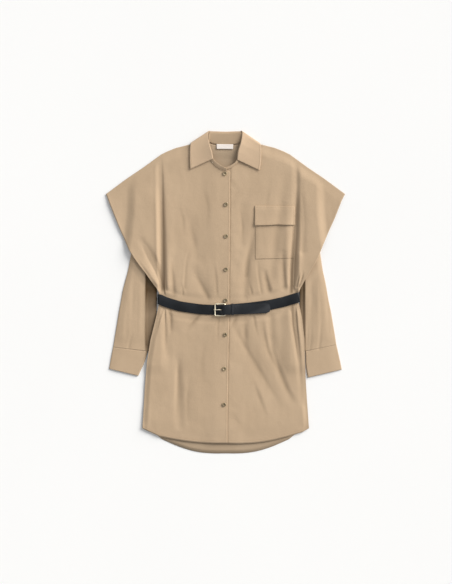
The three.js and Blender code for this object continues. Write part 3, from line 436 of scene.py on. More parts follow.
# %% Fine creases, placed by the pixels of the photo
CREASES = [
    crease(5, 1.0, (161.5, 160, 0), (163, 200, -0.6), (164, 250, -1), (164.5, 289, -1)),
    crease(4, -0.8, (146, 243, 0), (153, 257, -0.9), (159, 272, -1), (163, 287, -0.4)),
    crease(4, 0, (134, 252, 0), (147, 270, 0.6), (160, 289, 0.4)),
    crease(5, 0.4, (171, 258, 0), (173, 278, -0.8), (174, 296, -1)),
    crease(7, 0.3, (190, 222, 0), (194, 240, -0.5), (197, 258, 0)),
    crease(6, 0.4, (194, 270, 0), (201, 284, -0.7), (208, 297, -0.9)),
    crease(3, 1.0, (295.4, 212, 0), (294.6, 240, -1), (292.8, 270, -1.6), (292.4, 292, -1.8)),
    crease(4, 0, (297.4, 220, 0), (297, 250, 0.9), (295.6, 290, 1)),
    crease(6, 0.5, (299, 186, 0), (300.4, 215, -0.8), (299.6, 250, -0.4)),
    crease(2.4, 0, (299.6, 272, 0), (298.4, 279, -1.2), (296.6, 287, -1)),
    crease(2.4, 0, (303.6, 271, 0), (302, 278, -1.2), (298.8, 287, -1)),
    crease(5, 0.4, (282.6, 252, 0), (284, 268, -0.8), (285.6, 286, -1)),
    crease(5, 0.4, (252.6, 238, 0), (248.4, 258, -0.7), (246.4, 276, -0.8)),
    crease(5, 0.5, (264.6, 270, 0), (267, 280, -0.9), (270, 290, -0.9)),
    crease(4, 0.5, (171, 310, -1.2), (170.8, 320, -0.9), (171, 334, 0)),
    crease(4, 0.5, (166.6, 317, 0), (165.6, 334, -0.7), (165.2, 353, 0)),
    crease(4, -0.6, (199, 315, -1.2), (193, 322, -0.9), (186, 329, 0)),
    crease(6, -0.7, (178.6, 358, 0), (178, 372, -0.7), (177, 400, -0.4), (176, 424, 0)),
    crease(4, 0.8, (293, 304, -1.4), (293.6, 324, -1.4), (297, 345, -1), (300, 366, 0)),
    crease(4, 0, (296.4, 306, 0.8), (297.6, 326, 0.8), (301, 348, 0)),
    crease(5, 0.7, (262.6, 318, 0), (265, 336, -0.8), (268.6, 352, -0.9), (276, 368, 0)),
    crease(6, 0.8, (271, 344, 0), (279, 368, -1), (287, 388, -0.9), (296, 404, 0)),
    crease(6, 0.5, (232, 322, 0), (244, 344, -0.6), (262, 374, -0.6), (280, 404, 0)),
    crease(5, 0.4, (245, 320, 0), (245.6, 334, -0.6), (246, 348, 0)),
    crease(5, -0.5, (237, 315, -1), (233.6, 322, -0.8), (229, 329, 0)),
    crease(8, 0.3, (229, 404, 0), (236, 420, -0.4), (244, 434, 0)),
    crease(7, 0.3, (206, 340, 0), (202, 362, -0.4), (204, 388, 0)),
    crease(2.2, 0.6, (160.4, 306, -0.5), (156.4, 318, -0.6), (152.8, 330, 0)),
    crease(2.0, 0.5, (163.6, 308, -0.4), (159.6, 320, -0.5), (156.4, 334, 0)),
    crease(5, 0.4, (179, 204, 0), (183, 220, -0.4), (184, 241, 0)),
    crease(4, -0.4, (190, 246, 0), (186, 262, -0.4), (184, 288, -0.5)),
    crease(6, 0.3, (204, 186, 0), (208, 208, -0.4), (206, 232, 0)),
    crease(4, 0.4, (214, 262, 0), (216, 276, -0.5), (217, 293, -0.6)),
    crease(4, 0.4, (240, 206, 0), (242.6, 226, -0.5), (242.4, 246, 0)),
    crease(4, -0.4, (257, 259, 0), (258.6, 276, -0.6), (261, 292, -0.7)),
    crease(6, 0.3, (272, 176, 0), (268, 196, -0.4), (266, 212, 0)),
    crease(3, 0.5, (249, 282, 0), (251, 288, -0.5), (252, 293, -0.7)),
    crease(3, 0.5, (181, 282, 0), (182.6, 289, -0.5), (183, 294, -0.6)),
    crease(5, 0.5, (252, 378, 0), (260, 398, -0.7), (268, 420, 0)),
    crease(4, 0.4, (219, 318, -0.6), (217.6, 330, -0.5), (218, 346, 0)),
    crease(4, 0.4, (254, 316, -0.8), (255.4, 326, -0.5), (258, 338, 0)),
    crease(6, -0.4, (189, 376, 0), (187, 400, -0.5), (188, 424, 0)),
]


CREASE_STRENGTH = 1.3


def made_ready(folds, scale=None, strength=1.0):
    """Folds with their paths in millimetres and the box that each one reaches."""
    ready = []
    for fold in folds:
        path = fold["path"]
        if scale:
            path = [(*scale(x, y), depth * strength) for x, y, depth in path]
        reach = 3 * fold["width"]
        xs = [p[0] for p in path]
        ys = [p[1] for p in path]
        box = (min(xs) - reach, max(xs) + reach, min(ys) - reach, max(ys) + reach)
        ready.append((box, fold["width"], fold["lean"], path))
    return ready


def relief(x, y, folds):
    total = 0
    for (west, east, south, north), width, lean, path in folds:
        if not (west < x < east and south < y < north):
            continue
        best = 1e9
        for (ax, ay, a_depth), (bx, by, b_depth) in zip(path, path[1:]):
            dx, dy = bx - ax, by - ay
            long = dx * dx + dy * dy
            t = clamp(((x - ax) * dx + (y - ay) * dy) / long)
            away = math.hypot(x - ax - t * dx, y - ay - t * dy)
            if away < best:
                best = away
                depth = lerp(a_depth, b_depth, t)
                side = (dx * (y - ay) - dy * (x - ax)) / math.sqrt(long)
        total += depth * math.exp(-((best / width) ** 2))
        if lean:
            total += lean * abs(depth) * side / width * math.exp(-((best / width / 1.6) ** 2))
    return total


large_folds = made_ready(LARGE_FOLDS)
creases = made_ready(CREASES, spot, CREASE_STRENGTH)
print(len(large_folds), "large folds and", len(creases), "creases")


# %% [markdown]
# A stiff solid model lies flatter than cloth. So the shell also rolls up a few millimetres beside the
# fold over the wearer's right sleeve, where the photo has its longest shadow, flares along the wings'
# free edges, and lifts off the table at the side seams and the hem, as pressed cotton does.

# %% Height of a front's middle surface
ROLL = table(
    "y crest high",
    (380, 170, 0),
    (300, 167, 1.0),
    (160, 165, 2.0),
    (20, 163, 3.9),
    (-60, 160, 2.8),
    (-110, 160, 0),
)
FLARE = {"wing": 2.4, "seam": 2.0, "hem": 0.8, "reach": 11}
PLACKET_RISE = 1.2


def front_puff(x, y):
    wing = smooth((abs(x) - 176) / 20) * smooth((y - 10) / 20)
    seam = lerp(smooth((edge_at(x, y) - abs(x)) / SEAM_EASE), 1, smooth(y / 40))
    shoulder = smooth((read(SHOULDER, "x", abs(x), "y") - y) / 34)
    belt = 1 - BELT_HOLD * band(y - belt_middle(x), BELT_WIDTH / 2 + 3, 26)
    high = lerp(BODY_PUFF, WING_PUFF, wing) + relief(x, y, large_folds)
    return max(0, high) * seam * shoulder * belt


def beside_belt(x, y):
    """None under the belt, and all from a little way off it."""
    return 1 - band(y - belt_middle(x), BELT_WIDTH / 2 + 2, 13)


def body_roll(x, y):
    """The long roll of cloth along the fold over the wearer's right sleeve."""
    if x > 0:
        return 0
    inward = read(ROLL, "y", y, "crest") + x
    rise = smooth((inward + 4) / 5) * math.exp(-max(0, inward) / 26)
    return read(ROLL, "y", y, "high") * rise * beside_belt(x, y)


def unevenly(x, y):
    return 0.75 + 0.5 * noise.noise(Vector((x / 60, y / 55, 21.3)))


def seam_flare(x, y):
    """How far both layers lift off the table at the side seams of the skirt."""
    inward = max(0, edge_at(x, y) - abs(x))
    return FLARE["seam"] * math.exp(-inward / FLARE["reach"]) * smooth((-45 - y) / 30) * unevenly(x, y)


def wing_flare(x, y):
    inward = max(0, edge_at(x, y) - abs(x))
    along = smooth((y - 16) / 20) * smooth((290 - y) / 60)
    return FLARE["wing"] * math.exp(-inward / FLARE["reach"]) * along * unevenly(x, y)


def ripple(x, y):
    """The shallow unevenness of pressed cloth, which is nowhere quite the same."""
    wide = noise.noise(Vector((x / 46, y / 70, 3.1)))
    near = noise.noise(Vector((x / 15, y / 28, 8.7)))
    return 0.6 * wide + 0.22 * near


def hem_at(rows, x):
    """How far up the table the hem of a front is at x."""
    last = rows[-1]
    t = clamp((x - last["in_x"]) / (last["fold_x"] - last["in_x"]))
    if t < 1:
        return lerp(last["in_y"], last["fold_y"], t) + last["bow"] * math.sin(math.pi * t)
    t = clamp((x - last["fold_x"]) / (last["out_x"] - last["fold_x"]))
    return lerp(last["fold_y"], last["out_y"], t)


def front_edge_at(y):
    return read(RIGHT_ROWS[5:], "in_y", y, "in_x")


def front_height(side, x, y):
    if side == "right":
        over = OVERLAP["lift"] * smooth((x - OVERLAP["start"]) / OVERLAP["ease"])
        hem = hem_at(RIGHT_ROWS, x)
    else:
        past = x - front_edge_at(y)
        rise = PLACKET_RISE * smooth((past - 0.3) / 2.6) * unevenly(3 * x, 3 * y)
        over = rise * smooth((55 - past) / 50) * beside_belt(x, y)
        hem = hem_at(LEFT_ROWS, x)
    ground = back_under(x, y) + CLOTH + GAP + sleeve_lift(x, y) + over + CLOTH / 2
    loose = front_puff(x, y) * lerp(0.45, 1, smooth((y - hem) / 45))
    lie = ground + max(0, loose + (relief(x, y, creases) + ripple(x, y)) * smooth(loose / 1.6))
    flare = seam_flare(x, y) + wing_flare(x, y)
    flare += FLARE["hem"] * math.exp(-max(0, y - hem) / FLARE["reach"]) * unevenly(x, y)
    return lie + body_roll(x, y) + flare


def crease_painted_shade(x, y):
    """How much painted shade a crease gives the cloth at a place: 0 in the open, 1 in a deep fold."""
    fine = max(0, -relief(x, y, creases))
    large = max(0, -relief(x, y, large_folds))
    return clamp(0.16 * fine + 0.03 * large)


for px, py in [(200, 240), (120, 200), (260, 400)]:
    x, y = spot(px, py)
    print("cloth at", px, py, "is", round(front_height("right" if x < 0 else "left", x, y), 2), "mm up")

# %% [markdown]
# ## Shader groups
#
# Cotton and label share a weave, every finish shares a slow drift of its tone, the hard trims share
# their worn edges, and the cloth shares a painted shade, a darker tone where it lies shut in. Each is a
# node group with named sockets, built once. The weave reads the piece's own cloth coordinates, in metres
# along and across the threads, so that it turns with each panel as real threads do.


# %% Groups
def group(name, inputs, outputs):
    tree = bpy.data.node_groups.new(name, "ShaderNodeTree")
    for socket, kind, value in inputs:
        made = tree.interface.new_socket(socket, in_out="INPUT", socket_type=kind)
        if value is not None:
            made.default_value = value
    for socket, kind in outputs:
        tree.interface.new_socket(socket, in_out="OUTPUT", socket_type=kind)
    return tree, tree.nodes.new("NodeGroupInput"), tree.nodes.new("NodeGroupOutput")


def math_node(tree, operation, first, second=None, third=None):
    node = tree.nodes.new("ShaderNodeMath")
    node.operation = operation
    for socket, value in zip(node.inputs, (first, second, third)):
        if value is None:
            continue
        if isinstance(value, (int, float)):
            socket.default_value = value
        else:
            tree.links.new(value, socket)
    return node.outputs[0]


def mix_colour(tree, share, first, second):
    node = tree.nodes.new("ShaderNodeMix")
    node.data_type = "RGBA"
    for socket, value in ((node.inputs[0], share), (node.inputs[6], first), (node.inputs[7], second)):
        if isinstance(value, (int, float, tuple)):
            socket.default_value = value
        else:
            tree.links.new(value, socket)
    return node.outputs[2]


def noise_node(tree, vector, scale, detail=3.0, roughness=0.5):
    node = tree.nodes.new("ShaderNodeTexNoise")
    node.inputs["Scale"].default_value = scale
    node.inputs["Detail"].default_value = detail
    node.inputs["Roughness"].default_value = roughness
    tree.links.new(vector, node.inputs["Vector"])
    return node.outputs["Fac"]


def build_weave():
    tree, given, made = group(
        "weave",
        [("Vector", "NodeSocketVector", None), ("Threads per metre", "NodeSocketFloat", 1800.0)],
        [("Height", "NodeSocketFloat"), ("Slub", "NodeSocketFloat")],
    )
    split = tree.nodes.new("ShaderNodeSeparateXYZ")
    tree.links.new(given.outputs["Vector"], split.inputs[0])
    turns = math_node(tree, "MULTIPLY", given.outputs["Threads per metre"], math.pi)
    warp = math_node(tree, "SINE", math_node(tree, "MULTIPLY", split.outputs[0], turns))
    weft = math_node(tree, "SINE", math_node(tree, "MULTIPLY", split.outputs[1], turns))
    crossing = math_node(tree, "MULTIPLY", warp, weft)
    tree.links.new(math_node(tree, "MULTIPLY_ADD", crossing, 0.5, 0.5), made.inputs["Height"])
    stretch = tree.nodes.new("ShaderNodeMapping")
    stretch.inputs["Scale"].default_value = (1.0, 0.06, 1.0)
    tree.links.new(given.outputs["Vector"], stretch.inputs["Vector"])
    slub = noise_node(tree, stretch.outputs[0], 900.0, 2.0)
    tree.links.new(slub, made.inputs["Slub"])
    return tree


def build_drift():
    tree, given, made = group(
        "drift",
        [
            ("Vector", "NodeSocketVector", None),
            ("Light tone", "NodeSocketColor", (1, 1, 1, 1)),
            ("Dark tone", "NodeSocketColor", (0, 0, 0, 1)),
            ("Patch scale", "NodeSocketFloat", 9.0),
        ],
        [("Colour", "NodeSocketColor"), ("Mask", "NodeSocketFloat")],
    )
    node = tree.nodes.new("ShaderNodeTexNoise")
    node.inputs["Detail"].default_value = 4.0
    tree.links.new(given.outputs["Vector"], node.inputs["Vector"])
    tree.links.new(given.outputs["Patch scale"], node.inputs["Scale"])
    wide = tree.nodes.new("ShaderNodeMapRange")
    wide.inputs["From Min"].default_value = 0.3
    wide.inputs["From Max"].default_value = 0.7
    tree.links.new(node.outputs["Fac"], wide.inputs["Value"])
    mask = wide.outputs["Result"]
    tree.links.new(mask, made.inputs["Mask"])
    colour = mix_colour(tree, mask, given.outputs["Dark tone"], given.outputs["Light tone"])
    tree.links.new(colour, made.inputs["Colour"])
    return tree


def build_edge_wear():
    tree, given, made = group(
        "edge wear",
        [("Colour", "NodeSocketColor", (1, 1, 1, 1)), ("Worn", "NodeSocketColor", (1, 1, 1, 1)),
         ("Amount", "NodeSocketFloat", 0.5)],
        [("Colour", "NodeSocketColor"), ("Mask", "NodeSocketFloat")],
    )
    shape = tree.nodes.new("ShaderNodeNewGeometry")
    wide = tree.nodes.new("ShaderNodeMapRange")
    wide.inputs["From Min"].default_value = 0.52
    wide.inputs["From Max"].default_value = 0.62
    tree.links.new(shape.outputs["Pointiness"], wide.inputs["Value"])
    mask = math_node(tree, "MULTIPLY", wide.outputs["Result"], given.outputs["Amount"])
    tree.links.new(mask, made.inputs["Mask"])
    colour = mix_colour(tree, mask, given.outputs["Colour"], given.outputs["Worn"])
    tree.links.new(colour, made.inputs["Colour"])
    return tree


def build_deep_shade():
    # Painted shade: the colour is mixed towards a darker tone where the cloth lies shut in.
    tree, given, made = group(
        "deep shade",
        [("Colour", "NodeSocketColor", (1, 1, 1, 1)), ("Deep tone", "NodeSocketColor", (0, 0, 0, 1)),
         ("Shut in", "NodeSocketFloat", 0.0)],
        [("Colour", "NodeSocketColor")],
    )
    colour = mix_colour(tree, given.outputs["Shut in"], given.outputs["Colour"], given.outputs["Deep tone"])
    tree.links.new(colour, made.inputs["Colour"])
    return tree


weave = build_weave()
drift = build_drift()
edge_wear = build_edge_wear()
deep_shade = build_deep_shade()
print("shader groups:", weave.name, drift.name, edge_wear.name, deep_shade.name)

# %% [markdown]
# ## Materials
#
# Poplin is a plain weave, matt, with a faint fuzz that catches light at grazing angles, which is what
# Sheen is for. Its colour drifts by a few percent, where the cloth was pressed or handled. Leather has
# a fine grain and a broad soft shine, the buckle is a pale gold plating, and the buttons are mottled
# like horn.


# %% Material makers
def new_material(name, roughness, metallic=0.0):
    material = bpy.data.materials.new(name)
    material.use_nodes = True
    shader = material.node_tree.nodes["Principled BSDF"]
    shader.inputs["Roughness"].default_value = roughness
    shader.inputs["Metallic"].default_value = metallic
    return material, material.node_tree, shader


def use(tree, shared, **values):
    node = tree.nodes.new("ShaderNodeGroup")
    node.node_tree = shared
    for key, value in values.items():
        socket = node.inputs[key.replace("_", " ")]
        if isinstance(value, (int, float, tuple)):
            socket.default_value = value
        else:
            tree.links.new(value, socket)
    return node


def bump(tree, shader, height, metres):
    node = tree.nodes.new("ShaderNodeBump")
    node.inputs["Distance"].default_value = metres
    node.inputs["Strength"].default_value = 1.0
    tree.links.new(height, node.inputs["Height"])
    tree.links.new(node.outputs[0], shader.inputs["Normal"])


# How far the painted shade darkens each channel of the dark tone.
PAINTED_SHADE_SHARE = (0.12, 0.08, 0.02)


def cotton(name, light, dark, threads=1800.0):
    material, tree, shader = new_material(name, 0.86)
    where = tree.nodes.new("ShaderNodeTexCoord")
    tone = use(tree, drift, Vector=where.outputs["Object"], Light_tone=light, Dark_tone=dark)
    threads_here = use(tree, weave, Vector=where.outputs["UV"], Threads_per_metre=threads)
    slub = math_node(tree, "MULTIPLY", threads_here.outputs["Slub"], 0.14)
    colour = mix_colour(tree, slub, tone.outputs["Colour"], dark)
    # The shade attribute paints shade into the base colour, darker in creases and beside the body.
    painted_shade = tree.nodes.new("ShaderNodeAttribute")
    painted_shade.attribute_name = "shade"
    deep = tuple(share * part for share, part in zip(dark, PAINTED_SHADE_SHARE)) + (1,)
    shaded = use(tree, deep_shade, Colour=colour, Deep_tone=deep, Shut_in=painted_shade.outputs["Fac"])
    tree.links.new(shaded.outputs["Colour"], shader.inputs["Base Color"])
    shader.inputs["Sheen Weight"].default_value = 0.12
    shader.inputs["Sheen Roughness"].default_value = 0.5
    shader.inputs["Specular IOR Level"].default_value = 0.3
    wrinkle = noise_node(tree, where.outputs["Object"], 240.0, 3.0)
    height = math_node(tree, "MULTIPLY_ADD", wrinkle, 1.6, threads_here.outputs["Height"])
    crumple = noise_node(tree, where.outputs["Object"], 62.0, 4.0, 0.55)
    height = math_node(tree, "MULTIPLY_ADD", crumple, 7.0, height)
    bump(tree, shader, height, 0.00006)
    return material


def toned(tree, light, dark, patch_scale):
    """Object coordinates, and a tone that drifts between two colours."""
    where = tree.nodes.new("ShaderNodeTexCoord")
    vector = where.outputs["Object"]
    tone = use(tree, drift, Vector=vector, Light_tone=light, Dark_tone=dark, Patch_scale=patch_scale)
    return where, tone


# %% The finishes
poplin = cotton("tan poplin", (0.500, 0.366, 0.240, 1), (0.462, 0.335, 0.217, 1))
# A lighter copy of the same poplin for the collar: painted light.
poplin_collar_lit = cotton("collar poplin with painted light", (0.550, 0.402, 0.268, 1), (0.515, 0.374, 0.247, 1))
# The wrong side is darker, partly its own tone and partly painted shade for where it shows in the neck.
poplin_wrong_side_and_shade = cotton("poplin wrong side with painted shade", (0.425, 0.318, 0.214, 1), (0.392, 0.290, 0.192, 1))
satin = cotton("label satin", (0.78, 0.72, 0.67, 1), (0.72, 0.655, 0.605, 1), 3000.0)


def thread_material():
    material, tree, shader = new_material("sewing thread", 0.7)
    where, tone = toned(tree, (0.50, 0.366, 0.240, 1), (0.42, 0.305, 0.196, 1), 60.0)
    tree.links.new(tone.outputs["Colour"], shader.inputs["Base Color"])
    twist = noise_node(tree, where.outputs["Object"], 2600.0, 1.0)
    bump(tree, shader, twist, 0.00004)
    return material


def leather_material():
    material, tree, shader = new_material("belt leather", 0.42)
    shader.inputs["Specular IOR Level"].default_value = 0.2
    where, tone = toned(tree, (0.014, 0.0165, 0.020, 1), (0.006, 0.007, 0.0085, 1), 22.0)
    worn = use(tree, edge_wear, Colour=tone.outputs["Colour"], Worn=(0.05, 0.052, 0.056, 1), Amount=0.5)
    tree.links.new(worn.outputs["Colour"], shader.inputs["Base Color"])
    grain = tree.nodes.new("ShaderNodeTexVoronoi")
    grain.inputs["Scale"].default_value = 1400.0
    tree.links.new(where.outputs["Object"], grain.inputs["Vector"])
    bump(tree, shader, grain.outputs["Distance"], 0.00012)
    shine = math_node(tree, "MULTIPLY_ADD", tone.outputs["Mask"], 0.14, 0.34)
    tree.links.new(shine, shader.inputs["Roughness"])
    return material


def gold_material():
    material, tree, shader = new_material("pale gold", 0.3, 1.0)
    where, tone = toned(tree, (0.99, 0.92, 0.74, 1), (0.93, 0.83, 0.62, 1), 160.0)
    worn = use(tree, edge_wear, Colour=tone.outputs["Colour"], Worn=(0.97, 0.92, 0.8, 1), Amount=0.6)
    tree.links.new(worn.outputs["Colour"], shader.inputs["Base Color"])
    scratch = noise_node(tree, where.outputs["Object"], 900.0, 2.0)
    bump(tree, shader, scratch, 0.00003)
    shine = math_node(tree, "MULTIPLY_ADD", scratch, 0.2, 0.32)
    tree.links.new(shine, shader.inputs["Roughness"])
    return material


def horn_material():
    material, tree, shader = new_material("mottled horn", 0.3)
    where, tone = toned(tree, (0.36, 0.27, 0.15, 1), (0.085, 0.062, 0.034, 1), 240.0)
    worn = use(tree, edge_wear, Colour=tone.outputs["Colour"], Worn=(0.55, 0.46, 0.3, 1), Amount=0.5)
    tree.links.new(worn.outputs["Colour"], shader.inputs["Base Color"])
    shader.inputs["Coat Weight"].default_value = 0.3
    ripple_height = noise_node(tree, where.outputs["Object"], 1200.0, 1.0)
    bump(tree, shader, ripple_height, 0.00003)
    return material


def floor_material():
    material, tree, shader = new_material("pale table", 0.9)
    tone = toned(tree, (0.886, 0.886, 0.881, 1), (0.877, 0.877, 0.872, 1), 1.5)[1]
    tree.links.new(tone.outputs["Colour"], shader.inputs["Base Color"])
    shader.inputs["Specular IOR Level"].default_value = 0.1
    return material


thread = thread_material()
leather = leather_material()
gold = gold_material()
horn = horn_material()
pale_table = floor_material()
print("materials:", len(bpy.data.materials))


# %% Floor
def make_floor():
    bm = bmesh.new()
    bmesh.ops.create_grid(bm, x_segments=2, y_segments=2, size=4.0)
    mesh = bpy.data.meshes.new("floor")
    bm.to_mesh(mesh)
    bm.free()
    floor = bpy.data.objects.new("floor", mesh)
    mesh.materials.append(pale_table)
    scene.collection.objects.link(floor)


make_floor()

# %% [markdown]
# ## Making a piece of cloth
#
# Each panel starts as a flat grid. Every point of the grid is carried to its place on the garment by a
# function of u, across the panel, and v, down it, and keeps its cloth coordinates as a UV map for the
# weave. A Solidify modifier then gives the shell its thickness.


# %% Piece makers
def finish_piece(name, bm, material, nodes=(), wall=0.0, round_off=0):
    mesh = bpy.data.meshes.new(name)
    bm.to_mesh(mesh)
    bm.free()
    mesh.polygons.foreach_set("use_smooth", [True] * len(mesh.polygons))
    mesh.materials.append(material)
    piece = bpy.data.objects.new(name, mesh)
    scene.collection.objects.link(piece)
    if wall:
        solid = piece.modifiers.new("wall", "SOLIDIFY")
        solid.thickness = wall * MM
        solid.offset = 0
    if round_off:
        soft = piece.modifiers.new("round", "SUBSURF")
        soft.levels = round_off
        soft.render_levels = round_off
    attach(piece, "root")
    if nodes:
        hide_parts(*nodes)
    print(name, "has", len(mesh.polygons), "faces")
    return piece


def cloth_grid(columns, rows, place):
    """A grid carried to place(u, v), which gives a point, its cloth coordinates and its painted shade."""
    bm = bmesh.new()
    bmesh.ops.create_grid(bm, x_segments=columns, y_segments=rows, size=0.5, calc_uvs=True)
    uv = bm.loops.layers.uv.verify()
    shade = bm.verts.layers.float.new("shade")
    laid = {}
    for vert in bm.verts:
        point, threads, painted_shade = place(clamp(vert.co.x + 0.5), clamp(0.5 - vert.co.y))
        laid[vert.index] = Vector(threads) * MM
        vert.co = Vector(point) * MM
        vert[shade] = painted_shade
    for face in bm.faces:
        for loop in face.loops:
            loop[uv].uv = laid[loop.vert.index]
    bm.normal_update()
    return bm


def facing_up(bm):
    total = sum(face.normal.z * face.calc_area() for face in bm.faces)
    if total < 0:
        bmesh.ops.reverse_faces(bm, faces=bm.faces)
    return bm


# %% [markdown]
# ## The two fronts
#
# The fronts are the dress's face. They reach from the shoulders over the wide wings to the curved hem.
# The right front lies on the left one along the button line.


# %% Fronts
FRONT_GRID = (180, 256)


def make_front(side, rows):
    def place(u, v):
        x, y = front_place(rows, u, v)
        return (x, y, front_height(side, x, y)), (x, y), crease_painted_shade(x, y)

    bm = facing_up(cloth_grid(*FRONT_GRID, place))
    return finish_piece(f"front_{side}_cloth", bm, poplin, [f"front_{side}"], wall=SHELL)


front_right = make_front("right", RIGHT_ROWS)
front_left = make_front("left", LEFT_ROWS)

# %% [markdown]
# ## The back
#
# Only its inside shows, in the neck and below the front hem, where the shirt tail is longer. It lies on
# the table, and rises over the belt's back run and the sleeves.

# %% Back
BACK_NECK = {"half": 52, "low": 396, "high": 406.5}


def back_rows(rows, side):
    cut = [dict(row) for row in rows]
    for i, row in enumerate(cut):
        row["in_x"] = 0
        row["out_x"] -= side * 1.5
        row["fold_x"] -= side * 1.5
        if 0 < i < 5:
            row["in_y"] = lerp(396, 324, i / 5)
    cut[0]["in_y"] = 396
    cut[-2]["out_y"] += 6
    cut[-2]["fold_y"] += 4
    cut[-1].update(in_y=-436.2, fold_x=side * 172, fold_y=-398, out_x=side * 222, out_y=-356, bow=-13)
    return cut


BACK_RIGHT = back_rows(RIGHT_ROWS, -1)
BACK_LEFT = back_rows(LEFT_ROWS, 1)


def back_top(x):
    t = abs(x) / BACK_NECK["half"]
    if t < 1:
        return lerp(BACK_NECK["low"], BACK_NECK["high"], t**4)
    return read(SHOULDER, "x", abs(x), "y") - 4


def back_place(u, v):
    rows = BACK_RIGHT if u < 0.5 else BACK_LEFT
    x, y = across(row_at(rows, v, ("in_x", "in_y", "out_x", "out_y")), abs(2 * u - 1))
    top_share = smooth(1 - v * 16)
    if top_share > 0:
        top_x, top_y = across(rows[0], abs(2 * u - 1))
        y += top_share * (back_top(top_x) - top_y)
    centre = -0.35 * math.exp(-((x / 5) ** 2))
    loose = 0.35 * ripple(x + 300, y) + centre
    z = back_under(x, y) + CLOTH / 2 + max(-0.05, loose) + seam_flare(x, y)
    return (x, y, z), (x, y), 0.0


back = finish_piece(
    "back_cloth", facing_up(cloth_grid(200, 150, back_place)), poplin_wrong_side_and_shade, ["back"], wall=SHELL
)

# %% [markdown]
# ## Sleeves and cuffs
#
# A sleeve pressed flat is a tube: it lies on the table, turns at its outer edge, comes back over itself,
# and folds again at the crease beside the body. The cuffs are the same, shorter and flatter.

# %% Cuff sizes
CUFFS = {
    "right": table(
        SLEEVE_ROW,
        (-303.4, -149.62, -214, -210.5, -161.12),
        (-309, -178, -224, -221, -193),
        (-314, -208, -239, -236.5, -226.7),
    ),
    "left": table(
        SLEEVE_ROW,
        (299.4, -143.12, 218.5, 216, -160.62),
        (307, -176, 220, 217.5, -196),
        (314, -209.7, 225, 222.8, -231.3),
    ),
}
SLEEVE_CREASES = made_ready(
    [
        crease(6, 0, (134, 262, 0), (132.6, 300, -0.8), (131, 340, 0)),
        crease(5, 0, (140, 270, 0), (140, 305, 0.7), (139, 346, 0)),
        crease(5, 0, (128, 300, 0), (126, 325, -0.6), (126, 346, -0.2)),
        crease(4, 0, (132.6, 330, 0), (129.6, 342, -0.9), (128.5, 348, -1.2)),
        crease(5, 0, (122, 280, 0), (119.6, 310, 0.4), (118, 344, 0)),
        crease(7, 0, (311, 262, 0), (312, 300, -0.9), (309.4, 345, -0.4)),
        crease(5, 0, (317.6, 268, 0), (318, 305, 0.7), (318, 344, 0)),
        crease(4, 0, (307.6, 318, 0), (307.4, 336, -1), (307, 351, -1.2)),
        crease(4, 0, (312, 324, 0), (311, 340, -0.8), (309.6, 350, -1)),
        crease(4, 0, (322, 316, 0), (320.4, 334, -0.8), (319, 349, -1)),
        crease(5, 0, (326, 280, 0), (328, 310, -0.6), (329, 340, 0)),
    ],
    spot,
)


# %% [markdown]
# Between the crease of a sleeve and the body lies a strip that hardly any light reaches. Light alone
# could give it, but the shells lie a little looser than real pressed cloth, so its shade is painted in too.

# %% Painted shade on the strips beside the body
NOOK_PAINTED_SHADE = 0.14
STRIP_PAINTED_SHADE = table(
    "y right left",
    (80, 0, 0),
    (46, 0.8, 0.66),
    (5, 0.92, 0.8),
    (-22, 0.76, 0.7),
    (-62, 0.57, 0.58),
    (-103, 0.65, 0.44),
    (-143, 0.74, 0.3),
    (-170, 0.3, 0.1),
    (-190, 0, 0),
)


def strip_shade(x, y, crease, inner):
    """How much painted shade the strip gets at a place, most of all in its two corners."""
    if abs(x) > crease + 4:
        return 0.0
    amount = read(STRIP_PAINTED_SHADE, "y", y, "right" if x < 0 else "left")
    edge = smooth((crease + 3 - abs(x)) / 4)
    by_crease = math.exp(-(((abs(x) - crease + 2) / 3) ** 2))
    by_body = math.exp(-(((abs(x) - inner) / 5) ** 2))
    nook = NOOK_PAINTED_SHADE * by_crease + NOOK_PAINTED_SHADE * by_body
    return clamp(amount * (edge + nook))


def tube_section(t, crease):
    """How high a pressed sleeve stands, from its outer edge at t 0 to its inner edge at t 1."""
    if t < crease:
        rise = smooth(t / crease / 0.3) ** 0.6
        return rise * lerp(1, 0.86, smooth((t / crease - 0.4) / 0.6))
    return 0.86 * smooth(1 - (t - crease) * 14)


def make_tube(rows, floor_at, puff_at, columns, lines, wall):
    """A flattened tube: u goes round it, once over the top and back underneath."""

    def place(u, v):
        row = row_at(rows, v)
        width = abs(row["in_x"] - row["out_x"])
        crease = (row["crease_x"] - row["out_x"]) / (row["in_x"] - row["out_x"])
        upper = u < 0.5
        t = 0.5 - 0.5 * math.cos(2 * math.pi * u)
        x = lerp(row["out_x"], row["in_x"], t)
        y = lerp(row["out_y"], row["in_y"], t)
        away = min(t, 1 - t) * width
        turn = math.sqrt(max(0, 1 - (1 - clamp(away / 2.2)) ** 2))
        low = floor_at(x, y) + wall / 2
        full = SLEEVE_FLAT - wall + puff_at(y) * tube_section(t, crease)
        if upper:
            full += (relief(x, y, SLEEVE_CREASES) + 0.5 * ripple(x, y)) * smooth(puff_at(y)) * turn
        middle = low + (SLEEVE_FLAT - wall) / 2
        z = lerp(middle, low + max(full, 0.6), turn) if upper else lerp(middle, low, turn)
        painted_shade = strip_shade(x, y, abs(row["crease_x"]), abs(row["in_x"]))
        return (x, y, z), (width * (t if upper else 2 - t), v * 460), painted_shade

    bm = cloth_grid(columns, lines, place)
    bmesh.ops.remove_doubles(bm, verts=bm.verts, dist=0.00002)
    bmesh.ops.recalc_face_normals(bm, faces=bm.faces)
    return bm


def sleeve_floor(x, y):
    inside_wing = edge_at(x, y) - abs(x)
    return SLEEVE_SEAT * smooth((inside_wing + 30) / 22) * smooth((y + 26) / 34)


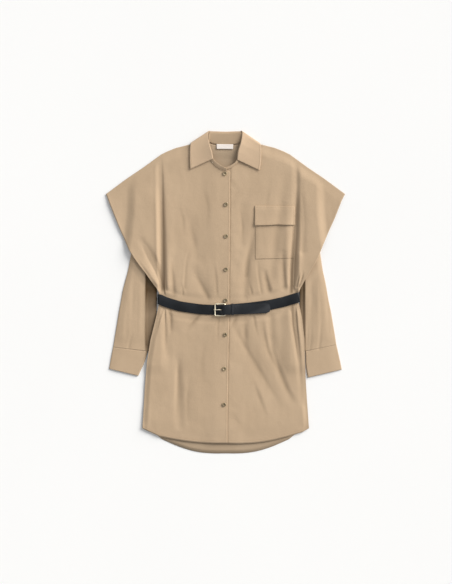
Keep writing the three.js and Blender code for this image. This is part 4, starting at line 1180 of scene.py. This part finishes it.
for side in ("right", "left"):
    bm = make_tube(SLEEVES[side], sleeve_floor, sleeve_puff, 110, 170, SHELL)
    sleeve = finish_piece(f"sleeve_{side}_cloth", bm, poplin, [f"sleeve_{side}"], wall=SHELL)
    bm = make_tube(CUFFS[side], lambda x, y: 0.0, lambda y: CUFF_PUFF, 100, 36, CUFF_WALL)
    cuff = finish_piece(f"cuff_{side}_cloth", bm, poplin, [f"cuff_{side}"], wall=CUFF_WALL)

# %% [markdown]
# ## Collar
#
# A shirt collar is two pieces: a stand, a low band sewn round the neckline, and a leaf that folds over
# it. The leaf's points lie on the fronts, and at the back it turns under and lies on the table, so the
# inside of the stand shows there with a blank label sewn to it.

# %% Collar sizes
STAND = table(
    "low_x low_y top_x top_y low top",
    (3, 325, 4, 333.5, 9.6, 13.6),
    (-9, 329.5, -7, 337.5, 9.6, 13.4),
    (-22, 336, -18, 345, 9.4, 12.2),
    (-37, 350, -32, 358, 8.4, 11.6),
    (-48.5, 371, -36, 378, 7.6, 11.6),
    (-54.5, 392, -42, 398, 6.2, 10.6),
    (-49, 405, -44.5, 418, 3.8, 8.4),
    (-42, 403.5, -43, 430, 2.6, 5.6),
    (-26, 398.8, -28, 431.2, 2.3, 3.4),
    (0, 396.6, 0, 430, 2.3, 3.0),
    (26, 398.8, 28, 431.2, 2.3, 3.4),
    (42, 403.5, 42, 430, 2.6, 5.6),
    (49, 405, 43, 418, 3.8, 8.4),
    (54.5, 392, 39, 399, 6.2, 10.6),
    (47.5, 371, 32, 378, 7.6, 11.6),
    (34.5, 350, 30, 356, 8.0, 10.8),
    (15, 335, 16, 343, 7.6, 9.2),
    (-6, 328, -4, 335, 7.4, 8.4),
)
LEAF = table(
    "fold_x fold_y edge_x edge_y fold",
    (-33.5, 359.5, -95.3, 331.4, 13.6),
    (-37.5, 379, -96.2, 353, 15),
    (-43.5, 399, -96.4, 375, 14),
    (-46.5, 417, -95.9, 391, 10.8),
    (-46.5, 431, -94.5, 400, 7.0),
    (-44.5, 435.2, -92.5, 403.2, 5.4),
    (-41, 434.6, -87, 399, 2.8),
    (-28, 434.4, -50, 387, 1.9),
    (0, 433.5, 0, 384, 1.8),
    (28, 434.4, 50, 387, 1.9),
    (40, 434.6, 87, 398, 2.8),
    (43.5, 435.4, 92.5, 402, 5.4),
    (45, 430, 94.2, 398, 7.0),
    (44, 417, 95.8, 390, 10.8),
    (40.5, 400, 96.4, 374, 14),
    (34, 379, 95.6, 350, 14.6),
    (31.5, 356.5, 92, 328, 12.6),
)


# %% Heights read from the frame
def tree_of(node):
    bm = bmesh.new()
    bm.from_mesh(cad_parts[node].data)
    tree = BVHTree.FromBMesh(bm)
    bm.free()
    return tree


def top_on(tree, x, y):
    """Height of the highest face of a node over a place, or of its nearest edge, in millimetres."""
    start = Vector((x * MM, y * MM, 0.1))
    hit = tree.ray_cast(start, Vector((0, 0, -1)))[0]
    if hit is None:
        hit = tree.find_nearest(Vector((x * MM, y * MM, 0.01)))[0]
    return hit.z / MM


leaf_tree = tree_of("collar_leaf")
label_tree = tree_of("neck_label")
print("collar leaf is", round(top_on(leaf_tree, -70, 370), 2), "mm up at its middle")


# %% Collar stand and leaf
def stand_place(u, v):
    row = row_at(STAND, u)
    x = lerp(row["low_x"], row["top_x"], v)
    y = lerp(row["low_y"], row["top_y"], v)
    z = lerp(row["low"], row["top"], v) + 0.3 * math.sin(math.pi * v)
    # Painted shade: the stand darkens towards the back of the neck.
    return (x, y, z), (u * 360, v * 34), 0.16 * smooth((y - 350) / 50)


LEAF_UNDER = 5
LEAF_WALL = 1.0
for row in LEAF:
    row["edge"] = 0.65
    row["fold"] -= 0.6
    if row["fold"] > LEAF_UNDER - 0.6:
        row["edge"] = top_on(leaf_tree, 0.98 * row["edge_x"], row["edge_y"] + 1) - 0.6
print("the leaf's edge is", [round(row["edge"], 1) for row in LEAF], "mm up")


def leaf_place(u, v):
    """The leaf drops from its fold in a soft roll, and then lies nearly level out to its edge."""
    row = row_at(LEAF, u, ("edge", "fold"))
    x = lerp(row["fold_x"], row["edge_x"], v)
    y = lerp(row["fold_y"], row["edge_y"], v)
    z = lerp(row["edge"], row["fold"], (1 - v) ** 2.1)
    over = 1 - band(u - 0.5, 0.23, 0.05)
    if over > 0:
        on_front = front_height("right" if x < 0 else "left", x, y) + 1.25
        z = lerp(z, max(z, on_front), over) + (1.9 if x < 0 else 0.7) * v * over
    return (x, y, z), (u * 400, v * 66), 0.0


stand_bm = cloth_grid(150, 10, stand_place)
stand = finish_piece("collar_stand_cloth", stand_bm, poplin, ["collar_stand"], wall=1.0)
leaf_bm = cloth_grid(190, 30, leaf_place)
leaf = finish_piece("collar_leaf_cloth", leaf_bm, poplin_collar_lit, ["collar_leaf"], wall=LEAF_WALL)

# %% [markdown]
# ## Label, pocket and flap
#
# The pocket is a patch sewn on the wearer's left breast, with a flap over its top. They are laid on the
# front's own height, so they follow every fold under them.

# %% Patches
POCKET, FLAP, LABEL = table(
    "top_left top_right low_left low_right",
    ((80.2, 221), (184.6, 220), (80.2, 88.2), (184, 91.2)),
    ((79.2, 232.6), (187.6, 231), (79, 179.4), (188.2, 181)),
    ((-24.3, 399.4), (20.8, 399), (-24, 386.4), (20.6, 386)),
)


def patch_place(outline, u, v):
    left = [lerp(a, b, v) for a, b in zip(outline["top_left"], outline["low_left"])]
    right = [lerp(a, b, v) for a, b in zip(outline["top_right"], outline["low_right"])]
    return lerp(left[0], right[0], u), lerp(left[1], right[1], u)


def pocket_height(x, y):
    return front_height("left", x, y) + 0.72


def pocket_cut(u, v):
    x, y = patch_place(POCKET, u, v)
    edge = min(u, 1 - u, 1 - v) * 105
    return (x, y, pocket_height(x, y) + 0.25 * smooth(edge / 9)), (x, y), crease_painted_shade(x, y)


def flap_place(u, v):
    x, y = patch_place(FLAP, u, v)
    dip = 1.6 * math.exp(-(((u - 0.56) / 0.14) ** 2)) * v
    y += dip if v > 0.8 else dip * v
    lift = 2.2 * v**3 + 0.95 + 0.8 * smooth(v * 5)
    return (x, y, pocket_height(x, y) + lift), (x, y), 0.6 * crease_painted_shade(x, y)


def label_place(u, v):
    x, y = patch_place(LABEL, u, v)
    return (x, y, top_on(label_tree, x, y) - 0.5 + 1.4 * v), (x, y), 0.0


pocket_bm = facing_up(cloth_grid(84, 100, pocket_cut))
pocket = finish_piece("pocket_cloth", pocket_bm, poplin, ["pocket"], wall=0.45)
flap_bm = facing_up(cloth_grid(84, 40, flap_place))
flap = finish_piece("pocket_flap_cloth", flap_bm, poplin, ["pocket_flap"], wall=1.1)
label_bm = facing_up(cloth_grid(30, 10, label_place))
label = finish_piece("label_cloth", label_bm, satin, ["neck_label"], wall=0.7)

# %% [markdown]
# ## Belt, buckle and keeper
#
# The strap's solid already has its whole run: over the fronts, round both sides, under the back and
# round the buckle's bar. A merged copy of it gets bevelled edges, as cut and burnished leather has. The
# keeper is bevelled the same way, and the buckle and prong are merged copies rounded off by subdivision.


# %% Copies of the frame's hard parts
def merged_copy(node):
    bm = bmesh.new()
    bm.from_mesh(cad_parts[node].data)
    bmesh.ops.remove_doubles(bm, verts=bm.verts, dist=0.000002)
    return bm


def bevelled(node, width, segments, sharp_angle):
    bm = merged_copy(node)
    bmesh.ops.dissolve_limit(
        bm, angle_limit=math.radians(1), verts=bm.verts, edges=bm.edges, delimit={"NORMAL"}
    )
    sharp = [e for e in bm.edges if len(e.link_faces) == 2 and e.calc_face_angle() > sharp_angle]
    bmesh.ops.bevel(
        bm,
        geom=sharp,
        offset=width * MM,
        offset_type="OFFSET",
        segments=segments,
        profile=0.5,
        affect="EDGES",
        clamp_overlap=True,
        material=-1,
    )
    return bm


SHARP = 0.9
finish_piece("belt_leather", bevelled("belt_strap", 0.5, 2, SHARP), leather, ["belt_strap"])
finish_piece("keeper_leather", bevelled("belt_keeper", 0.3, 2, SHARP), leather, ["belt_keeper"])
finish_piece("buckle_gold", merged_copy("buckle_frame"), gold, ["buckle_frame"], round_off=2)
finish_piece("prong_gold", merged_copy("buckle_prong"), gold, ["buckle_prong"], round_off=1)

# %% [markdown]
# ## Buttons
#
# Each button is turned: a profile is spun round its axis, and four holes are drilled through it. The
# first one is drilled with a boolean, and the others are copies of its mesh.

# %% Buttons
BUTTON_RADIUS = 5.6
BUTTON_THICK = 2.2
BUTTONS = table(
    "name x y turn",
    ("button_neck", -2, 319.5, 20),
    ("button_1", 1.1, 236.4, 12),
    ("button_2", 1.3, 150.5, 50),
    ("button_3", 1.1, 60.6, -8),
    ("button_4", 0, -23, 31),
    ("button_5", -0.8, -115.4, 64),
    ("button_6", -3.5, -207.5, 5),
    ("button_7", -4, -304.2, -33),
)
BUTTON_PROFILE = table(
    "out up",
    (0, 0),
    (0.82, 0),
    (1, 0.35),
    (1, 0.7),
    (0.9, 0.98),
    (0.78, 0.98),
    (0.62, 0.66),
    (0, 0.6),
)


def turned_button():
    bm = bmesh.new()
    verts = []
    for point in BUTTON_PROFILE:
        place = (point["out"] * BUTTON_RADIUS * MM, 0, point["up"] * BUTTON_THICK * MM)
        verts.append(bm.verts.new(place))
    edges = [bm.edges.new(pair) for pair in zip(verts, verts[1:])]
    bmesh.ops.spin(
        bm, geom=verts + edges, cent=(0, 0, 0), axis=(0, 0, 1), angle=2 * math.pi, steps=32, use_merge=True
    )
    bmesh.ops.remove_doubles(bm, verts=bm.verts, dist=0.00001)
    bmesh.ops.recalc_face_normals(bm, faces=bm.faces)
    return bm


def drill_bm():
    bm = bmesh.new()
    for k in range(4):
        angle = math.pi / 4 + k * math.pi / 2
        place = Vector((1.25 * math.cos(angle), 1.25 * math.sin(angle), 1.0)) * MM
        bmesh.ops.create_cone(
            bm, cap_ends=True, segments=12, radius1=0.62 * MM, radius2=0.62 * MM, depth=6 * MM,
            matrix=Matrix.Translation(place),
        )
    return bm


def drilled_mesh():
    body = bpy.data.objects.new("body", bpy.data.meshes.new("body"))
    drill = bpy.data.objects.new("drill", bpy.data.meshes.new("drill"))
    for obj, bm in ((body, turned_button()), (drill, drill_bm())):
        bm.to_mesh(obj.data)
        bm.free()
        scene.collection.objects.link(obj)
    cut = body.modifiers.new("holes", "BOOLEAN")
    cut.object = drill
    cut.operation = "DIFFERENCE"
    cut.solver = "EXACT"
    mesh = bpy.data.meshes.new_from_object(body.evaluated_get(bpy.context.evaluated_depsgraph_get()))
    bpy.data.objects.remove(body)
    bpy.data.objects.remove(drill)
    return mesh


button_mesh = drilled_mesh()
for row in BUTTONS:
    bm = bmesh.new()
    bm.from_mesh(button_mesh)
    low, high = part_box(row["name"])
    place = Matrix.Translation((row["x"] * MM, row["y"] * MM, low[2]))
    bmesh.ops.transform(bm, matrix=place @ Matrix.Rotation(math.radians(row["turn"]), 4, "Z"), verts=bm.verts)
    finish_piece(row["name"] + "_horn", bm, horn, [row["name"]])

# %% [markdown]
# ## Sewing
#
# A seam is a run of small stitches that just stand out of the cloth. One stitch is a bevelled grain of
# thread. It is copied along each line at an even pitch, and each line is one mesh.


# %% Stitches
def stitch_mesh():
    bm = bmesh.new()
    bmesh.ops.create_cube(bm, size=1.0)
    bmesh.ops.scale(bm, vec=Vector((1.9, 0.62, 0.42)) * MM, verts=bm.verts)
    bmesh.ops.bevel(
        bm, geom=bm.edges[:], offset=0.12 * MM, segments=1, profile=0.5, affect="EDGES", material=-1
    )
    mesh = bpy.data.meshes.new("stitch")
    bm.to_mesh(mesh)
    bm.free()
    return mesh


one_stitch = stitch_mesh()
STITCH_PITCH = 2.7


def add_stitch(bm, place, angle, slope):
    """One stitch, turned along its line and tipped with the cloth."""
    turn = Matrix.Rotation(angle, 4, "Z") @ Matrix.Rotation(-slope, 4, "Y")
    stitch = one_stitch.copy()
    stitch.transform(Matrix.Translation(place * MM) @ turn)
    bm.from_mesh(stitch)
    bpy.data.meshes.remove(stitch)


def spread(path, pitch):
    """Places along a path at an even pitch, each with the direction there."""
    left_over = pitch / 2
    for (ax, ay), (bx, by) in zip(path, path[1:]):
        long = math.hypot(bx - ax, by - ay)
        at = left_over
        while at < long:
            t = at / long
            yield lerp(ax, bx, t), lerp(ay, by, t), math.atan2(by - ay, bx - ax)
            at += pitch
        left_over = at - long


def sew(name, lines, pitch=STITCH_PITCH):
    """lines holds pairs of a path and the height function of the cloth that it is sewn on."""
    bm = bmesh.new()
    for path, height in lines:
        for x, y, angle in spread(path, pitch):
            dx, dy = math.cos(angle), math.sin(angle)
            rise = (height(x + dx, y + dy) - height(x - dx, y - dy)) / 2
            add_stitch(bm, Vector((x, y, height(x, y) + 0.12)), angle, math.atan(rise))
    return finish_piece(name, bm, thread)


def on_front(side):
    return lambda x, y: front_height(side, x, y) + 0.45


def moved(path, dx, dy):
    return [(x + dx, y + dy) for x, y in path]


def front_line(rows, inset):
    """The front hem, moved in by inset."""
    return moved([front_place(rows, 0.01 + 0.98 * k / 60, 1) for k in range(61)], 0, inset)


def front_edge(rows, inset, start, end):
    places = []
    for k in range(90):
        x, y = front_place(rows, 0, k / 89)
        if end < y < start:
            places.append((x + inset, y))
    return places


sew("hem_stitches_right", [(front_line(RIGHT_ROWS, 8), on_front("right"))])
sew("hem_stitches_left", [(front_line(LEFT_ROWS, 8), on_front("left"))])
edge_line = front_edge(RIGHT_ROWS, -3.6, 318, -402)
sew("front_edge_stitches", [(edge_line, on_front("right"))])


def back_height(x, y):
    return back_under(x, y) + CLOTH / 2 + 0.55


back_hem = [back_place(0.03 + 0.94 * k / 90, 1)[0][:2] for k in range(91)]
sew("back_hem_stitches", [(moved(back_hem, 0, 8), back_height)])

pocket_sides = [patch_place(POCKET, 0.02, 0.3 + 0.685 * k / 20) for k in range(21)]
pocket_low = [patch_place(POCKET, 0.02 + 0.96 * k / 20, 0.985) for k in range(21)]
pocket_up = [patch_place(POCKET, 0.98, 0.985 - 0.685 * k / 20) for k in range(21)]


def on_pocket(x, y):
    return pocket_height(x, y) + 0.3


sew("pocket_stitches", [(pocket_sides, on_pocket), (pocket_low, on_pocket), (pocket_up, on_pocket)])


def flap_line(edge_u, edge_v):
    low = [(edge_u, 0.1 + (0.9 - edge_v) * k / 12) for k in range(13)]
    along = [(lerp(edge_u, 1 - edge_u, k / 30), 1 - edge_v) for k in range(31)]
    up = [(1 - edge_u, 1 - edge_v - (0.9 - edge_v) * k / 12) for k in range(13)]
    return low + along + up


def sew_on(name, place, marks_list, up, pitch=STITCH_PITCH):
    """Stitches along lines that are given in a panel's own u and v."""
    bm = bmesh.new()
    for marks in marks_list:
        points = [Vector(place(u, v)[0]) for u, v in marks]
        flat = [(p.x, p.y) for p in points]
        k = 0
        total = [0.0]
        for a, b in zip(points, points[1:]):
            total.append(total[-1] + math.hypot(b.x - a.x, b.y - a.y))
        walked = pitch / 2
        while walked < total[-1]:
            while total[k + 1] < walked:
                k += 1
            t = (walked - total[k]) / max(total[k + 1] - total[k], 1e-6)
            here = points[k].lerp(points[k + 1], t)
            along = points[k + 1] - points[k]
            angle = math.atan2(along.y, along.x)
            slope = math.atan2(along.z, max(math.hypot(along.x, along.y), 1e-6))
            add_stitch(bm, here + Vector((0, 0, up)), angle, slope)
            walked += pitch
    return finish_piece(name, bm, thread)


flap_top = [(0.02 + 0.96 * k / 30, 0.08) for k in range(31)]
sew_on("flap_stitches", flap_place, [flap_line(0.03, 0.06), flap_top], 0.6)
leaf_right = [(0.006, 0.08 + 0.86 * k / 16) for k in range(17)]
leaf_right += [(0.006 + 0.25 * k / 24, 0.94) for k in range(25)]
leaf_left = [(0.994, 0.08 + 0.86 * k / 16) for k in range(17)]
leaf_left += [(0.994 - 0.25 * k / 24, 0.94) for k in range(25)]
sew_on("collar_stitches", leaf_place, [leaf_right, leaf_left], 0.6)
stand_line = [(0.02 + 0.96 * k / 90, 0.1) for k in range(91)]
sew_on("neck_stitches", stand_place, [stand_line], 0.55)
